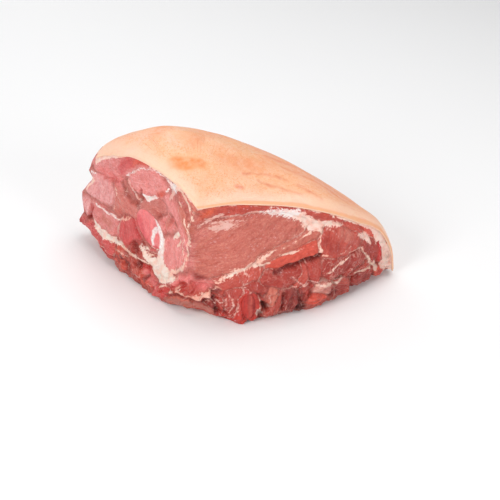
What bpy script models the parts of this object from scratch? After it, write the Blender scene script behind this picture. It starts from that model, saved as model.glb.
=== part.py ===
"""Raw pork shoulder joint: one piece of meat under its rind, with two sawn bones showing.

The joint is a wedge.  Two upright cuts meet at a near corner: the long cut runs along +X and shows
the neck and blade muscles, and the arm cut turns away from it and shows the arm bone.  The rind is
swept from the outline of one cut to the outline of the other, and the ragged rib side lies below.

Lengths are in millimetres while the shape is worked out, and in metres in the finished meshes.
The origin is under the middle of the joint, on the surface that it lies on, with +Z up.
"""

import math

import bmesh
import bpy
import numpy as np
from mathutils import Vector

MM = 0.001

# ---------------------------------------------------------------- driving dimensions
# Where the near corner of the two cuts stands, from the origin under the middle.
NEAR_CORNER = (-82.0, -73.93)
# How far the arm cut turns from the long cut.
CUT_TURN = math.radians(107)
# Outlines of the cuts under the rind, as (distance from the near corner, height).
LONG_OUTLINE = (
    (0, 118), (30, 117), (60, 112.3), (90, 106.3), (120, 97.3), (145, 87),
    (165, 76), (180, 68), (193, 58), (203, 44), (211, 27), (215, 6),
)
ARM_OUTLINE = (
    (0, 118), (10, 123.5), (22, 128), (45, 131.5), (75, 132), (97, 129.5), (112, 124),
    (130, 117.5), (150, 107.5), (160, 97), (166, 80), (177, 50), (182, 17),
)
# Far edge of the arm cut, as (height, how far the flesh stands out of the outline).
ARM_EDGE = (
    (0, 0), (14, 1), (20, 2.5), (27, -1), (33, -4.5), (40, -2), (46, 0.5), (55, 2.5),
    (62, -1), (68, -3), (73, -6), (78, -7), (84, 1.5), (90, 0),
)

# Rind: how square the footprint is, how high the crown rises, and what is left of it at the low end.
FOOTPRINT_SQUARENESS = 2.78
CROWN_HEIGHT = 22.8
CROWN_FADE = 0.79
# How deep the rind is tucked in along each cut, and how far behind the cut it is full again.
LONG_TUCK, LONG_TUCK_REACH = 7.3, 13.7
ARM_TUCK, ARM_TUCK_REACH = 5.7, 12.0

# How far the lower flesh bellies out of each cut.
LONG_BELLY = 30.0
ARM_BELLY = 8.0

# Ragged rib side: lift of the near corner, of the rim and of the far end, and of its torn edge.
CORNER_LIFT = 9.0
RIM_LIFT = 12.0
FAR_LIFT = 17.0
RIGHT_LIFT = 6.0
TORN_EDGE = 3.0
TORN_REACH = 22.0

# Relief of the cuts: muscles stand proud of the seams between them.
MUSCLE_BULGE = 3.2
MUSCLE_ROUNDING = 4.0

# Mesh fineness: steps along an outline, up a cut, and across the rind from cut to cut.
OUTLINE_STEPS = 56
CUT_STEPS = 26
SWEEP_STEPS = 24
SWEEP_CROWDING = 1.8

# Bones, as centre on the cut, half sizes, tilt, depth and how far they stand proud.
ARM_BONE = dict(centre=(65.5, 64.5), half=(22.5, 17), tilt=math.radians(20), depth=60, proud=1.5)
RIB_BONE = dict(centre=(43, 21.5), half=(6.5, 14.5), tilt=math.radians(6), depth=42, proud=1.0)
BONE_SIDES = 28
BONE_GAP = 0.3

# Muscles, as strings of (distance from the near corner, height, radius) joined by tapered strips.
LONG_MUSCLES = (
    ((26, 110, 4.5), (75, 106, 4.5), (125, 93.5, 4), (145, 87, 3)),
    ((10, 62, 22), (30, 76, 21), (55, 85, 16), (80, 86, 12), (94, 86, 6)),
    ((60, 66, 3.5), (100, 74, 4.5), (112, 78, 3)),
    ((62, 58, 3), (80, 60, 4), (110, 64, 6)),
    ((130, 65, 15), (150, 61, 14)),
    ((150, 77, 4), (164, 66, 5)),
    ((122, 43, 7), (158, 38, 10)),
    ((60, 46, 7), (108, 44, 9)),
    ((178, 46, 8), (186, 32, 8)),
    ((45, 52, 5), (30, 40, 5)),
    ((68, 27, 6), (68, 12, 8)),
    ((84, 24, 7), (86, 12, 7)),
    ((112, 26, 5), (128, 17, 6)),
    ((140, 19, 7), (152, 13, 6)),
    ((165, 15, 9), (178, 16, 8)),
)
ARM_MUSCLES = (
    ((4, 104, 3), (14, 111, 4.5), (22, 117, 3)),
    ((10, 88, 5), (25, 98, 8), (42, 104, 7)),
    ((60, 115, 12), (78, 113, 13), (90, 104, 8)),
    ((95, 119, 6), (112, 110, 7)),
    ((128, 104, 9), (148, 97, 8)),
    ((140, 71, 14), (157, 69, 12)),
    ((96, 72, 8), (112, 76, 9)),
    ((122, 42, 8), (165, 42, 7)),
    ((97, 45, 12), (106, 45, 9)),
    ((17, 62, 12), (30, 52, 12)),
    ((38, 92, 8), (46, 82, 6)),
    ((48, 34, 10), (36, 27, 8)),
    ((6, 27, 7), (20, 24, 5)),
    ((60, 15, 7), (110, 17, 8)),
    ((124, 18, 5), (174, 20, 4)),
)
# Hollows between the muscles, as strings of (distance, height, radius) with a depth.
LONG_HOLLOWS = (
    (((68, 50.5, 2), (90, 53, 2.5), (115, 56.5, 2)), 4.0),
    (((11, 22, 4), (14, 30, 2)), 9.0),
    (((23, 24, 3), (24, 17, 2)), 7.0),
    (((56, 22, 2), (60, 12, 2.5)), 7.0),
    (((97, 12, 3), (99, 24, 2)), 5.0),
)
ARM_HOLLOWS = (
    (((82, 98, 1.5), (82, 91, 1.5)), 5.0),
    (((86, 82, 2.5), (98, 80, 3), (106, 88, 3)), 4.0),
    (((88, 37, 3), (87, 33, 2)), 5.0),
    (((74, 22, 3), (80, 20, 3)), 5.0),
    (((92, 15, 4), (100, 14, 3)), 6.0),
)


# ---------------------------------------------------------------- small helpers
def ease(value):
    """Rises smoothly from 0 to 1 as value does."""
    value = np.clip(value, 0.0, 1.0)
    return value * value * (3.0 - 2.0 * value)


def dome(value):
    """Rises from 0 to 1 as value does, steeply at first and level at the end."""
    return np.sin(0.5 * math.pi * np.clip(value, 0.0, 1.0))


def smooth_outline(points, steps):
    """Passes a smooth curve through the points and returns steps + 1 evenly spaced ones."""
    ends = np.array(points, float)
    ends = np.vstack([2 * ends[0] - ends[1], ends, 2 * ends[-1] - ends[-2]])
    t = np.linspace(0, 1, 40, endpoint=False)[:, None]
    pieces = []
    for a, b, c, d in zip(ends, ends[1:], ends[2:], ends[3:]):
        bend = 2 * a - 5 * b + 4 * c - d
        twist = d - a + 3 * (b - c)
        pieces.append(0.5 * (2 * b + (c - a) * t + bend * t**2 + twist * t**3))
    line = np.vstack(pieces + [ends[-2][None]])
    reached = np.r_[0, np.cumsum(np.linalg.norm(np.diff(line, axis=0), axis=1))]
    even = np.linspace(0, reached[-1], steps + 1)
    return np.stack([np.interp(even, reached, line[:, 0]), np.interp(even, reached, line[:, 1])], 1)


def outline_normals(outline):
    """Unit normals of an outline, pointing out of the meat."""
    run = np.gradient(outline, axis=0)
    run = run / np.linalg.norm(run, axis=1, keepdims=True)
    return np.stack([-run[:, 1], run[:, 0]], 1)


def string_distance(along, up, string):
    """Distance from points of a cut to a string of discs, negative inside it."""
    nearest = np.full(np.shape(along), np.inf)
    for (ax, az, ar), (bx, bz, br) in zip(string, string[1:]):
        run = (bx - ax, bz - az)
        t = ((along - ax) * run[0] + (up - az) * run[1]) / (run[0] ** 2 + run[1] ** 2)
        t = np.clip(t, 0, 1)
        away = np.hypot(along - ax - t * run[0], up - az - t * run[1])
        nearest = np.minimum(nearest, away - ar - t * (br - ar))
    return nearest


def cut_relief(along, up, muscles, hollows):
    """How far the cut surface stands proud at each point, in millimetres."""
    distances = np.sort([string_distance(along, up, string) for string in muscles], axis=0)
    inside = np.minimum(-distances[0], (distances[1] - distances[0]) / 2)
    relief = MUSCLE_BULGE * (1 - np.exp(-np.clip(inside, 0, None) / MUSCLE_ROUNDING))
    for string, depth in hollows:
        relief = relief - depth * ease(1 - string_distance(along, up, string) / 5.0)
    return relief


# ---------------------------------------------------------------- the meat
ARM_WAY = np.array([math.cos(CUT_TURN), math.sin(CUT_TURN)])
ARM_OUTWARD = np.array([-math.sin(CUT_TURN), math.cos(CUT_TURN)])


def belly(points):
    """Bends the cuts: the lower flesh bellies out, and the near edge leans back in its middle."""
    x, y, z = points[..., 0].copy(), points[..., 1].copy(), points[..., 2].copy()
    arm_run = x * ARM_WAY[0] + y * ARM_WAY[1]
    arm_depth = -(x * ARM_OUTWARD[0] + y * ARM_OUTWARD[1])
    profile = np.interp(z / 115, (0, 0.12, 0.35, 0.6, 0.8, 1.0), (0.78, 0.95, 1.0, 0.62, 0.28, 0.0))
    long_out = LONG_BELLY * ease(x / 45) * ease((212 - x) / 100) * profile
    long_out = long_out * np.exp(-np.clip(y, 0, None) / 45)
    arm_out = ARM_BELLY * ease(arm_run / 50) * ease((175 - arm_run) / 60) * ease((55 - z) / 50)
    arm_out = arm_out * np.exp(-np.clip(arm_depth, 0, None) / 40)
    lean = ease((118 - z) / 24) * np.exp(-((np.hypot(x, y) / 30) ** 2))
    edge = np.interp(z, *np.array(ARM_EDGE).T) * ease((arm_run - 125) / 40)
    edge = edge * np.exp(-((np.clip(arm_depth, 0, None) / 16) ** 2))
    bent = points.copy()
    bent[..., 0] += ARM_OUTWARD[0] * arm_out + ARM_WAY[0] * edge - 6 * lean
    bent[..., 1] += ARM_OUTWARD[1] * arm_out + ARM_WAY[1] * edge - long_out + 3 * lean
    return bent


def torn(distance):
    """Uneven lift of the torn lower edge along a cut."""
    waves = np.sin(distance / 6.1) + 0.7 * np.sin(distance / 3.7 + 1.0) + 0.5 * np.sin(distance / 2.3 + 2.0)
    return TORN_EDGE * np.clip(waves / 1.6, 0, None) * ease(distance / 20)


def rib_side_height(ground, out):
    """Height of the underside: flat in its middle, lifted at the corners, the rim and the torn edges."""
    arm_run = ground @ ARM_WAY
    behind_long_cut = ground[:, 1]
    behind_arm_cut = -(ground @ ARM_OUTWARD)
    near_long_cut = ease(1 - behind_long_cut / TORN_REACH)
    near_arm_cut = ease(1 - behind_arm_cut / TORN_REACH)
    height = CORNER_LIFT * ease((40 - np.hypot(*ground.T)) / 40)
    height = height + near_long_cut * (torn(ground[:, 0]) + RIGHT_LIFT * ease((ground[:, 0] - 110) / 60))
    height = height + near_arm_cut * (torn(arm_run) + FAR_LIFT * ease((arm_run - 95) / 80))
    return height + RIM_LIFT * ease((out - 0.86) / 0.14) * (1 - near_long_cut) * (1 - near_arm_cut)


def sweep():
    """The rind and the rib side, each as rows of points from the long cut to the arm cut."""
    long_top = smooth_outline(LONG_OUTLINE, OUTLINE_STEPS)
    arm_top = smooth_outline(ARM_OUTLINE, OUTLINE_STEPS)
    long_normals = outline_normals(long_top)
    arm_normals = outline_normals(arm_top)
    out = np.linspace(0, 1, OUTLINE_STEPS + 1)
    rind, rib_side = [], []
    for row in range(SWEEP_STEPS + 1):
        from_nearer_cut = min(row, SWEEP_STEPS - row) / SWEEP_STEPS
        part_way = 0.5 * (2 * from_nearer_cut) ** SWEEP_CROWDING
        turn = part_way if 2 * row < SWEEP_STEPS else 1 - part_way
        angle = 0.5 * math.pi * turn
        long_share = math.cos(angle) ** (2 / FOOTPRINT_SQUARENESS) if row < SWEEP_STEPS else 0.0
        arm_share = math.sin(angle) ** (2 / FOOTPRINT_SQUARENESS)
        blend = ease(turn)

        ground = np.outer(long_top[:, 0], (long_share, 0)) + np.outer(arm_top[:, 0] * arm_share, ARM_WAY)
        behind_arm_cut = -(ground @ ARM_OUTWARD)
        behind_long_cut = ground[:, 1]
        height = long_top[:, 1] * (1 - blend) + arm_top[:, 1] * blend
        crown = CROWN_FADE + (1 - CROWN_FADE) * ease((242 - ground[:, 0]) / 123)
        crown = crown * dome(behind_arm_cut / 53) * dome(behind_long_cut / 120) * dome((1 - out) / 0.78)
        long_out = LONG_TUCK * dome(behind_long_cut / LONG_TUCK_REACH) * ease((out - 0.25) / 0.35) * (1 - blend)
        arm_out = ARM_TUCK * dome(behind_arm_cut / ARM_TUCK_REACH) * ease((out - 0.3) / 0.25) * blend
        height = height + CROWN_HEIGHT * crown + long_out * long_normals[:, 1] + arm_out * arm_normals[:, 1]
        ground = ground + np.outer(long_out * long_normals[:, 0], (1, 0))
        ground = ground + np.outer(arm_out * arm_normals[:, 0], ARM_WAY)
        rind.append(np.column_stack([ground, height]))

        beneath = np.outer(out * long_top[-1, 0], (long_share, 0))
        beneath = beneath + np.outer(out * arm_top[-1, 0] * arm_share, ARM_WAY)
        beneath = beneath + np.outer(out**6, ground[-1] - beneath[-1])
        floor = rib_side_height(beneath, out)
        floor[-1] = height[-1]
        rib_side.append(np.column_stack([beneath, floor]))
    return np.array(rind), np.array(rib_side)


def cut_face(top, rim, outward, muscles, hollows, way):
    """Fills a cut with rows of points between its rim and its outline, and raises the muscles."""
    up = np.linspace(0, 1, CUT_STEPS + 1)[:, None, None]
    flat = rim * (1 - up) + top * up
    along = flat[..., 0] * way[0] + flat[..., 1] * way[1]
    height = flat[..., 2]
    inset = np.minimum(up[..., 0], 1 - up[..., 0]) * (top[:, 2] - rim[:, 2])
    inset = np.minimum(inset, along)
    inset = np.minimum(inset, (along[:, -1:] - along))
    relief = cut_relief(along, height, muscles, hollows) * ease(inset / 7)
    face = belly(flat)
    face[..., 0] += outward[0] * relief
    face[..., 1] += outward[1] * relief
    return face


def add_grid(mesh, grid):
    """Adds rows of points as triangles to a bmesh, leaving out those that shrink to nothing."""
    rows = [[mesh.verts.new(point) for point in row] for row in grid]
    for low, high in zip(rows, rows[1:]):
        for a, b, c, d in zip(low, low[1:], high[1:], high):
            for triangle in ((a, b, c), (a, c, d)):
                mesh.faces.new(triangle)


def build_meat():
    rind, rib_side = sweep()
    long_face = cut_face(rind[0], rib_side[0], (0, -1), LONG_MUSCLES, LONG_HOLLOWS, (1, 0))
    arm_face = cut_face(rind[-1], rib_side[-1], ARM_OUTWARD, ARM_MUSCLES, ARM_HOLLOWS, ARM_WAY)
    mesh = bmesh.new()
    for grid in (belly(rind), belly(rib_side), long_face, arm_face):
        grid = grid + np.array([NEAR_CORNER[0], NEAR_CORNER[1], 0.0])
        add_grid(mesh, grid * MM)
    bmesh.ops.remove_doubles(mesh, verts=mesh.verts, dist=0.02 * MM)
    bmesh.ops.dissolve_degenerate(mesh, edges=mesh.edges, dist=0.02 * MM)
    bmesh.ops.triangulate(mesh, faces=[face for face in mesh.faces if len(face.verts) > 3])
    bmesh.ops.recalc_face_normals(mesh, faces=mesh.faces)
    return mesh


# ---------------------------------------------------------------- the bones
def build_bone(bone, way, outward, grow=0.0, reach=0.0):
    """A sawn bone: an oval plug that narrows inwards, with a softened sawn face.

    grow widens it all round and reach carries it out past the cut, for the pocket in the meat.
    """
    along, up = bone["centre"]
    way = np.array(way)
    outward = np.array(outward)
    foot = np.array([[along * way[0], along * way[1], up]])
    surface = belly(foot)[0]
    face_out = bone["proud"] + reach
    depth = bone["depth"] + grow
    stations = ((face_out, 0.84), (face_out - 1.2, 0.95), (face_out - 3.0, 1.0), (-0.5 * depth, 0.9), (-depth, 0.72))
    if reach:
        stations = ((face_out, 1.0), (-3.0, 1.0), (-0.5 * depth, 0.9), (-depth, 0.72))
    mesh = bmesh.new()
    rings = []
    for out, share in stations:
        ring = []
        for side in range(BONE_SIDES):
            angle = 2 * math.pi * side / BONE_SIDES
            uneven = 1 + 0.05 * math.sin(2 * angle + 0.6) + 0.03 * math.sin(3 * angle)
            across = (bone["half"][0] * share * uneven + grow) * math.cos(angle)
            rise = (bone["half"][1] * share * uneven + grow) * math.sin(angle)
            sideways = across * math.cos(bone["tilt"]) - rise * math.sin(bone["tilt"])
            upwards = across * math.sin(bone["tilt"]) + rise * math.cos(bone["tilt"])
            x = surface[0] + way[0] * sideways + outward[0] * out + NEAR_CORNER[0]
            y = surface[1] + way[1] * sideways + outward[1] * out + NEAR_CORNER[1]
            ring.append(mesh.verts.new(Vector((x, y, surface[2] + upwards)) * MM))
        rings.append(ring)
    for near, far in zip(rings, rings[1:]):
        for side in range(BONE_SIDES):
            after = (side + 1) % BONE_SIDES
            mesh.faces.new((near[side], near[after], far[after], far[side]))
    for ring in (rings[0], rings[-1]):
        middle = mesh.verts.new(sum((vert.co for vert in ring), Vector()) / BONE_SIDES)
        for side in range(BONE_SIDES):
            mesh.faces.new((ring[side], ring[(side + 1) % BONE_SIDES], middle))
    bmesh.ops.recalc_face_normals(mesh, faces=mesh.faces)
    return mesh


# ---------------------------------------------------------------- objects
def make_material(name, colour, roughness):
    material = bpy.data.materials.new(name)
    material.use_nodes = True
    shader = material.node_tree.nodes["Principled BSDF"]
    shader.inputs["Base Color"].default_value = (*colour, 1.0)
    shader.inputs["Roughness"].default_value = roughness
    shader.inputs["Metallic"].default_value = 0.0
    return material


def make_object(name, mesh, material):
    data = bpy.data.meshes.new(name)
    mesh.to_mesh(data)
    mesh.free()
    made = bpy.data.objects.new(name, data)
    bpy.context.scene.collection.objects.link(made)
    if material is not None:
        data.materials.append(material)
    data.shade_smooth()
    data.set_sharp_from_angle(angle=math.radians(40))
    return made


def add_bone(name, bone, way, outward, meat, material):
    """Makes a bone and cuts the pocket that it sits in."""
    make_object(name, build_bone(bone, way, outward), material)
    cutter = make_object(name + "_pocket", build_bone(bone, way, outward, grow=BONE_GAP, reach=12.0), None)
    cutter.hide_render = True
    cutter.display_type = "WIRE"
    pocket = meat.modifiers.new(name + "_pocket", "BOOLEAN")
    pocket.operation = "DIFFERENCE"
    pocket.solver = "EXACT"
    pocket.object = cutter


def main():
    for old in list(bpy.data.objects):
        bpy.data.objects.remove(old, do_unlink=True)
    flesh = make_material("raw_flesh", (0.62, 0.17, 0.14), 0.45)
    cut_bone = make_material("cut_bone", (0.72, 0.20, 0.20), 0.5)
    meat = make_object("pork_shoulder", build_meat(), flesh)
    add_bone("arm_bone", ARM_BONE, ARM_WAY, ARM_OUTWARD, meat, cut_bone)
    add_bone("rib_bone", RIB_BONE, (1, 0), (0, -1), meat, cut_bone)


main()
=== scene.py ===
# %% [markdown]
# # A raw pork shoulder joint
# A half shoulder on the bone is a wedge of meat under its rind.  Two upright cuts meet at a near
# corner: the long cut shows the neck and blade muscles, and the arm cut shows the arm bone.
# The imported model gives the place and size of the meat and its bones.  This script dresses them:
# a fine mesh of flesh with its muscles in relief, a rind laid over it, and two sawn bones.
# Lengths are worked out in millimetres and turned to metres when a mesh is made.

# %% The frame that everything is fitted to
import math
from collections import namedtuple

import bmesh
import bpy
import numpy as np
from mathutils import Matrix, Vector


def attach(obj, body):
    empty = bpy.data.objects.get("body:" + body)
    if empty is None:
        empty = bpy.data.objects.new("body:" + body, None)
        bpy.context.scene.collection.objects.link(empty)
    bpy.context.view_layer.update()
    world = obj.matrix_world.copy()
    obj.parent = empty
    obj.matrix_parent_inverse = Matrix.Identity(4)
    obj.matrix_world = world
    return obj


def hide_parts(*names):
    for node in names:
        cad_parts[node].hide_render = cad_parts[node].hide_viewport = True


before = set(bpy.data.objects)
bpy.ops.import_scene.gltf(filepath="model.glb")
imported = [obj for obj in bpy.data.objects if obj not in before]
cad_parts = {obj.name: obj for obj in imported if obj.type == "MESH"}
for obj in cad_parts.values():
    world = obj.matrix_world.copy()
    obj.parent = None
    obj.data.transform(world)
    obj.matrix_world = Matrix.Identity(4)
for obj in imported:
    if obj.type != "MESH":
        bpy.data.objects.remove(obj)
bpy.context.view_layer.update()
MM = 0.001

# %% [markdown]
# ## Small helpers
# Meat has no sharp changes, so most values here ease from one level to another.  It is also
# uneven at every scale, so most steps need a smooth random field.  Blender has noise textures in
# its shaders, but the mesh itself has to be uneven too, so the field is written here: a lattice
# of repeatable random numbers, blended smoothly between its corners.


# %% Smooth steps and a dome
def ease(value):
    """Rises smoothly from 0 to 1 as value does."""
    value = np.clip(value, 0.0, 1.0)
    return value * value * (3.0 - 2.0 * value)


def rise(value, start, run):
    """0 up to a start, and 1 from a run beyond it."""
    return ease((value - start) / run)


def fall(value, end, run):
    """1 until a run before an end, and 0 from the end on."""
    return ease((end - value) / run)


def dome(value):
    """Rises from 0 to 1 as value does, steeply at first and level at the end."""
    return np.sin(0.5 * math.pi * np.clip(value, 0.0, 1.0))


# %% A repeatable random field
def lattice_value(i, j, k, seed):
    """A repeatable random number from -1 to 1 for each corner of a lattice."""
    mixed = (i * 374761393 + j * 668265263 + k * 2147483629 + seed * 974711) & 0xFFFFFFFF
    mixed = ((mixed ^ (mixed >> 13)) * 1274126177) & 0xFFFFFFFF
    mixed = ((mixed ^ (mixed >> 16)) * 2246822519) & 0xFFFFFFFF
    return (mixed ^ (mixed >> 15)) / 0x7FFFFFFF - 1.0


def lumps(points, size, seed):
    """A smooth random field from -1 to 1 whose lumps are about size millimetres across."""
    place = np.asarray(points, float) / size
    corner = np.floor(place).astype(np.int64)
    share = ease(place - corner)
    total = 0.0
    for step in range(8):
        offset = np.array([step & 1, (step >> 1) & 1, (step >> 2) & 1])
        weight = np.prod(np.where(offset, share, 1 - share), axis=-1)
        i, j, k = np.moveaxis(corner + offset, -1, 0)
        total = total + weight * lattice_value(i, j, k, seed)
    return total


def srgb(red, green, blue):
    """A colour as seen on a screen, 0 to 255, turned to the linear values that Blender mixes."""
    seen = np.array([red, green, blue]) / 255
    return np.where(seen < 0.04045, seen / 12.92, ((seen + 0.055) / 1.055) ** 2.4)


# %% Blending two values, and moving a coordinate unevenly
def cross_fade(share, first, second):
    """Blends numbers or colours: the first where share is 0, the second where it is 1."""
    if np.ndim(first) > np.ndim(share):
        share = share[..., None]
    return first * (1 - share) + second * share


def wander(value, points, *waves):
    """Moves a coordinate unevenly; each wave is a reach and a lump size in mm, and a seed."""
    for reach, size, seed in waves:
        value = value + reach * lumps(points, size, seed)
    return value


# %% [markdown]
# ## The camera
# The camera stands to the left of the joint and looks down on it with a long lens, so both cuts
# show.  A camera could be aimed with a constraint, but it is built here from the three angles
# that a tripod has, pan, tilt and a slight roll, because each can be changed alone.

# %% Camera
EYE = (-0.4713, -0.9634, 0.6680)
PAN = math.radians(26.494)
TILT_DOWN = math.radians(31.35)
ROLL = math.radians(3.575)
LENS = 90.6
SENSOR_WIDTH = 36.0

camera_data = bpy.data.cameras.new("camera")
camera_data.lens = LENS
camera_data.sensor_width = SENSOR_WIDTH
camera = bpy.data.objects.new("camera", camera_data)
bpy.context.scene.collection.objects.link(camera)
turn = Matrix.Rotation(-PAN, 4, "Z") @ Matrix.Rotation(math.pi / 2 - TILT_DOWN, 4, "X")
camera.matrix_world = Matrix.Translation(EYE) @ turn @ Matrix.Rotation(ROLL, 4, "Z")
bpy.context.scene.camera = camera
print("the camera stands at", EYE, "m with a lens of", LENS, "mm")

# %% [markdown]
# ## Floor and light
# Raw meat is judged in soft, neutral light.  An image of a room could light it, but four round
# lamps are easier to balance: a broad one overhead makes the soft shadow under the near edge,
# one on the left and one in front open up the two cuts, and one behind brightens the rind's far
# side.  The floor is plain and pale, so that it takes no attention.

# %% Floor
FLOOR_HALF = 3.0


def make_floor():
    data = bpy.data.meshes.new("floor")
    corners = [(-FLOOR_HALF, -FLOOR_HALF, 0), (FLOOR_HALF, -FLOOR_HALF, 0)]
    corners += [(FLOOR_HALF, FLOOR_HALF, 0), (-FLOOR_HALF, FLOOR_HALF, 0)]
    data.from_pydata(corners, [], [(0, 1, 2, 3)])
    floor = bpy.data.objects.new("floor", data)
    bpy.context.scene.collection.objects.link(floor)
    paint = bpy.data.materials.new("pale_floor")
    paint.use_nodes = True
    shader = paint.node_tree.nodes["Principled BSDF"]
    shader.inputs["Base Color"].default_value = (0.93, 0.93, 0.935, 1)
    shader.inputs["Roughness"].default_value = 0.55
    data.materials.append(paint)


make_floor()
print("the floor is", 2 * FLOOR_HALF, "m wide")

# %% Lamps and the light of the room
Lamp = namedtuple("Lamp", "name place aim width watts")
LAMPS = (
    Lamp("overhead", (0.30, 0.12, 1.20), (0, 0, 0.05), 1.3, 7.8),
    Lamp("left_fill", (-1.1, -0.55, 0.75), (0, 0, 0.06), 0.6, 9.6),
    Lamp("behind", (-0.10, 1.20, 0.75), (0, 0, 0.10), 1.2, 4.0),
    Lamp("front_fill", (0.35, -1.3, 0.70), (0, 0, 0.06), 0.5, 5.6),
)
ROOM_LIGHT = 0.31


def make_lamp(lamp):
    """A round lamp that shines from its place towards its aim."""
    data = bpy.data.lights.new(lamp.name, "AREA")
    data.shape = "DISK"
    data.size = lamp.width
    data.energy = lamp.watts
    made = bpy.data.objects.new(lamp.name, data)
    made.location = lamp.place
    made.rotation_euler = (Vector(lamp.aim) - Vector(lamp.place)).to_track_quat("-Z", "Y").to_euler()
    bpy.context.scene.collection.objects.link(made)


for lamp in LAMPS:
    make_lamp(lamp)
world = bpy.data.worlds.new("room")
world.use_nodes = True
world.node_tree.nodes["Background"].inputs["Color"].default_value = (1, 1, 1, 1)
world.node_tree.nodes["Background"].inputs["Strength"].default_value = ROOM_LIGHT
bpy.context.scene.world = world
bpy.context.scene.view_settings.view_transform = "Standard"
print(len(LAMPS), "lamps give", round(sum(lamp.watts for lamp in LAMPS), 1), "watts")

# %% [markdown]
# ## The form of the joint
# The two cuts have outlines of their own, and the rind between them is neither a lathe nor an
# extrusion: it turns from one outline to the other round the near corner, over a squarish
# footprint.  So each point of the rind has two coordinates, how far it has turned and how far out
# it lies from the corner, and its place is worked out from them by a function.  The same
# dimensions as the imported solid's are used, only with far more points.

# %% Outlines of the two cuts, in millimetres from the near corner
NEAR_CORNER = (-82.0, -73.93)
RIND_THICKNESS = 2.2
CUT_TURN = math.radians(107)
LONG_OUTLINE = (
    (0, 118), (30, 117), (60, 112.3), (90, 106.3), (120, 97.3), (145, 87),
    (165, 76), (180, 68), (193, 58), (203, 44), (211, 27), (215, 6),
)
ARM_OUTLINE = (
    (0, 118), (10, 123.5), (22, 128), (45, 131.5), (75, 132), (97, 129.5), (112, 124),
    (130, 117.5), (150, 107.5), (160, 97), (166, 80), (177, 50), (182, 17),
)

LONG_WAY = np.array([1.0, 0.0])
LONG_OUTWARD = np.array([0.0, -1.0])
ARM_WAY = np.array([math.cos(CUT_TURN), math.sin(CUT_TURN)])
ARM_OUTWARD = np.array([-math.sin(CUT_TURN), math.cos(CUT_TURN)])


def arm_place(x, y):
    """How far a point lies along the arm cut, and how far behind it."""
    return x * ARM_WAY[0] + y * ARM_WAY[1], -(x * ARM_OUTWARD[0] + y * ARM_OUTWARD[1])


# %% A smooth curve through an outline
def smooth_outline(points, steps=400):
    """Passes a smooth curve through the points and returns steps + 1 evenly spaced ones."""
    ends = np.array(points, float)
    ends = np.vstack([2 * ends[0] - ends[1], ends, 2 * ends[-1] - ends[-2]])
    t = np.linspace(0, 1, 40, endpoint=False)[:, None]
    pieces = []
    for a, b, c, d in zip(ends, ends[1:], ends[2:], ends[3:]):
        bend = 2 * a - 5 * b + 4 * c - d
        twist = d - a + 3 * (b - c)
        pieces.append(0.5 * (2 * b + (c - a) * t + bend * t**2 + twist * t**3))
    line = np.vstack(pieces + [ends[-2][None]])
    reached = np.r_[0, np.cumsum(np.linalg.norm(np.diff(line, axis=0), axis=1))]
    even = np.linspace(0, reached[-1], steps + 1)
    return np.stack([np.interp(even, reached, line[:, 0]), np.interp(even, reached, line[:, 1])], 1)


LONG_TOP = smooth_outline(LONG_OUTLINE)
ARM_TOP = smooth_outline(ARM_OUTLINE)


def outline_normals(outline):
    """Unit normals of an outline, pointing out of the meat."""
    run = np.gradient(outline, axis=0)
    run = run / np.linalg.norm(run, axis=1, keepdims=True)
    return np.stack([-run[:, 1], run[:, 0]], 1)


LONG_NORMALS = outline_normals(LONG_TOP)
ARM_NORMALS = outline_normals(ARM_TOP)


def along_outline(outline, out):
    """Distance from the corner and height of an outline, out being 0 at the corner and 1 at its end."""
    share = np.linspace(0, 1, len(outline))
    return np.interp(out, share, outline[:, 0]), np.interp(out, share, outline[:, 1])


# %% The footprint
FOOTPRINT_SQUARENESS = 2.78


def footprint(turn, long_reach, arm_reach):
    """Ground position of a point that has turned from the long cut (0) to the arm cut (1)."""
    angle = 0.5 * math.pi * turn
    long_share = np.clip(np.cos(angle), 0, 1) ** (2 / FOOTPRINT_SQUARENESS)
    long_share = np.where(turn < 1, long_share, 0)
    arm_share = np.sin(angle) ** (2 / FOOTPRINT_SQUARENESS)
    x = long_reach * long_share + arm_reach * arm_share * ARM_WAY[0]
    return x, arm_reach * arm_share * ARM_WAY[1]


# %% The rind's surface: a crown, and a tuck along each cut
Tuck = namedtuple("Tuck", "size reach start run")
LONG_TUCK = Tuck(7.3, 13.7, 0.25, 0.35)
ARM_TUCK = Tuck(5.7, 12.0, 0.3, 0.25)
CROWN_HEIGHT = 22.8
CROWN_LEFT, CROWN_END, CROWN_FALL = 0.79, 242.0, 123.0
CROWN_BEHIND_ARM_CUT, CROWN_BEHIND_LONG_CUT, CROWN_FROM_RIM = 53.0, 120.0, 0.78


def tucked(tuck, behind, out):
    """How far the rind bulges a little way behind a cut, so that it tucks in towards the cut."""
    return tuck.size * dome(behind / tuck.reach) * rise(out, tuck.start, tuck.run)


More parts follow.
